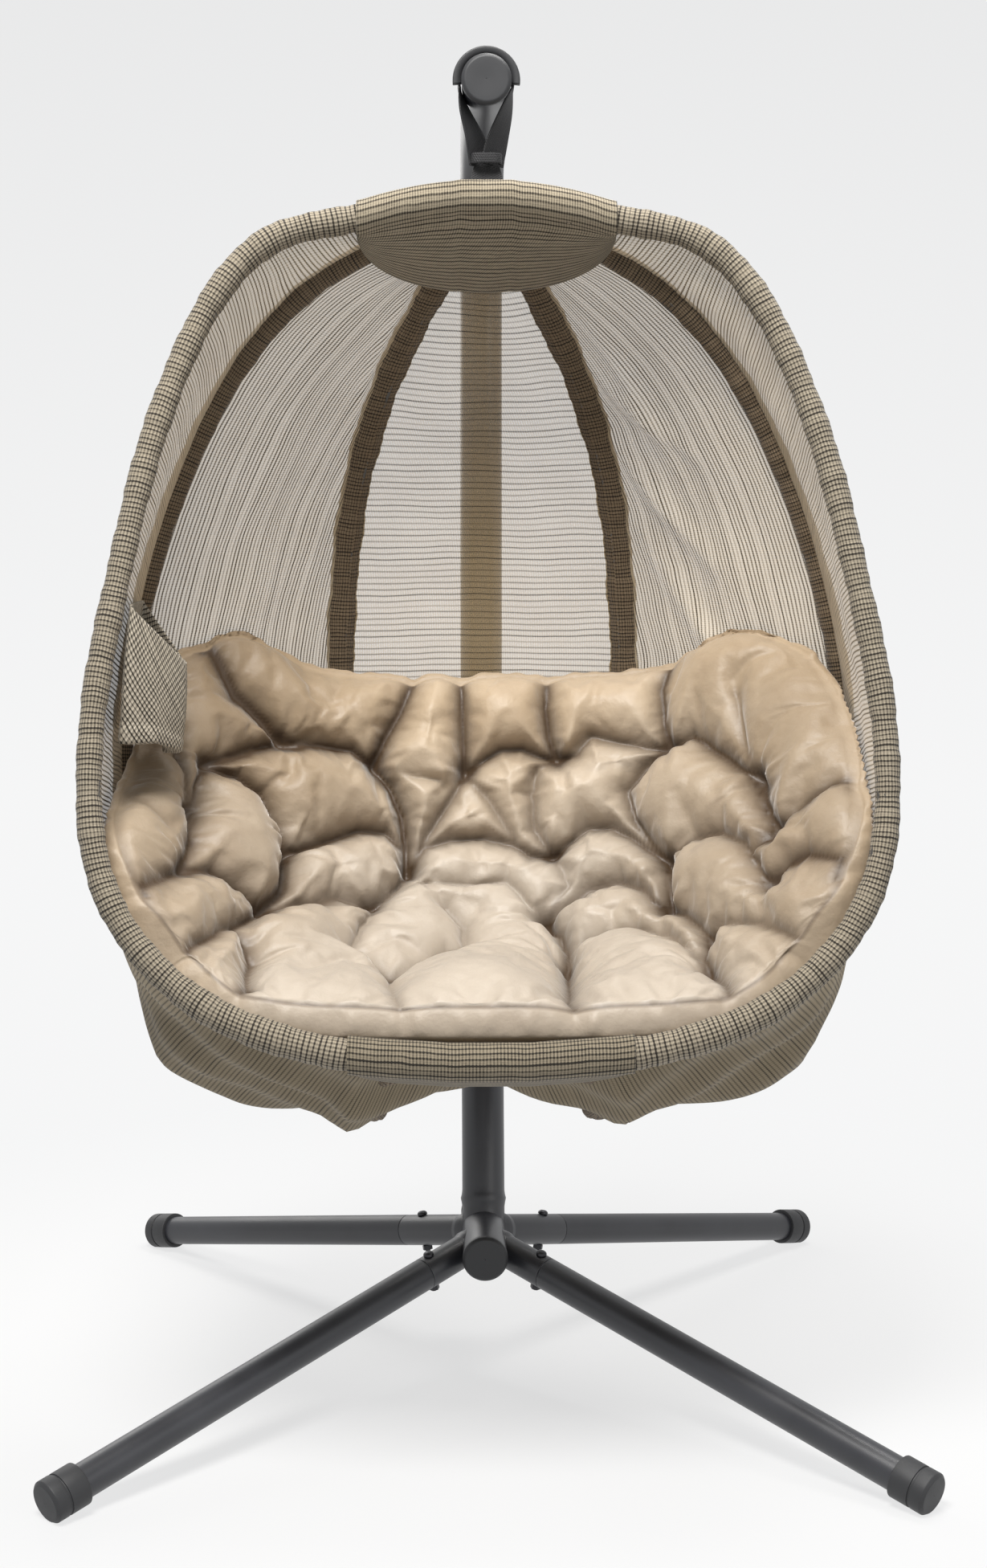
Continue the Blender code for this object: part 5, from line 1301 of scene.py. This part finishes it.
def show_nodes():
    """Materials for the CAD nodes that stay: nuts, hoop tubes and plates."""
    for name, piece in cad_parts.items():
        piece.data.materials.clear()
        piece.data.materials.append(ZINC if "nut" in name else STEEL)


# Stage

def build_world():
    """Even soft light, and a background that shades from the far floor's tone to the wall's."""
    world = bpy.data.worlds.new("studio")
    bpy.context.scene.world = world
    world.use_nodes = True
    w = Nodes(world.node_tree)
    light = w.tree.nodes["Background"]
    light.inputs["Color"].default_value = (0.97, 0.985, 1.0, 1.0)
    light.inputs["Strength"].default_value = WORLD_LIGHT
    up = w.add("ShaderNodeSeparateXYZ", {0: w.add("ShaderNodeTexCoord").outputs["Generated"]}).outputs[2]
    ramp = w.add("ShaderNodeValToRGB", {0: w.span(up, -1.0, 1.0)})
    for stop, place, colour in zip(ramp.color_ramp.elements, (0.44, 0.62), (FAR_FLOOR, SKY)):
        stop.position = place
        stop.color = (*colour, 1.0)
    shown = w.add("ShaderNodeBackground", {"Color": ramp.outputs[0]})
    ray = w.add("ShaderNodeLightPath").outputs
    seen = w.math("MAXIMUM", ray["Is Camera Ray"], ray["Is Transmission Ray"])
    seen = w.math("MAXIMUM", seen, ray["Is Glossy Ray"])
    mixed = w.add("ShaderNodeMixShader", {0: seen, 1: light.outputs[0], 2: shown.outputs[0]})
    w.put(w.tree.nodes["World Output"].inputs["Surface"], mixed.outputs[0])


def build_floor():
    """A pale round floor that takes a soft shadow and fades into the background."""
    turn = 2 * pi * np.arange(96) / 96
    reach = np.array((0.0001, 0.3, 0.8, 1.6, 3.0))
    x, y = reach[:, None] * np.cos(turn), reach[:, None] * np.sin(turn)
    rings = np.stack([x, y, np.zeros_like(x)], -1)
    u, v = np.meshgrid(np.linspace(0, 1, 97), reach)
    mesh = grid_mesh("floor", rings, np.stack([u, v], -1), (False, True))
    floor = bpy.data.objects.new("floor", mesh)
    bpy.context.scene.collection.objects.link(floor)
    s = Shade("pale_floor")
    place = s.point()
    away = s.add("ShaderNodeVectorMath", {0: place}, operation="LENGTH").outputs["Value"]
    grain = s.noise(place, 160.0, 3.0)
    pale = s.mix(grain, (0.80, 0.80, 0.80), (0.84, 0.84, 0.84))
    s.set(Base_Color=pale, Roughness=0.9, Specular_IOR_Level=0.1)
    glow = s.add("ShaderNodeEmission", {"Color": (*FAR_FLOOR, 1.0), "Strength": 1.0})
    share = s.span(away, 0.30, 1.5, 0.70, 1.0)
    mixer = s.add("ShaderNodeMixShader", {0: share, 1: s.shader.outputs[0], 2: glow.outputs[0]})
    s.put(s.tree.nodes["Material Output"].inputs["Surface"], mixer.outputs[0])
    mesh.materials.append(s.material)


def build_stage():
    """Background, floor, soft lamps and the camera."""
    scene = bpy.context.scene
    scene.view_settings.view_transform = "Standard"
    build_world()
    build_floor()
    for name, spot, aim, size, power in LAMPS:
        lamp = bpy.data.lights.new(name, "AREA")
        lamp.energy = power
        lamp.size = size
        lamp.color = LAMP_COLOUR
        item = bpy.data.objects.new(name, lamp)
        scene.collection.objects.link(item)
        item.location = spot
        item.rotation_euler = (Vector(aim) - Vector(spot)).to_track_quat("-Z", "Y").to_euler()
    lens = bpy.data.cameras.new("camera")
    lens.sensor_width = SENSOR
    lens.sensor_fit = "AUTO"
    lens.lens = FOCAL_PIXELS / IMAGE_HEIGHT * SENSOR
    camera = bpy.data.objects.new("camera", lens)
    scene.collection.objects.link(camera)
    camera.location = CAMERA_PLACE
    camera.rotation_euler = (radians(90 - CAMERA_DOWN), 0.0, radians(CAMERA_TURN))
    scene.camera = camera


show_nodes()
build_sleeves()
build_panels()
build_crown_patch()
build_lip_patch()
build_pocket()
build_cushion()
build_strap()
build_hub()
build_legs()
build_post()
build_stage()
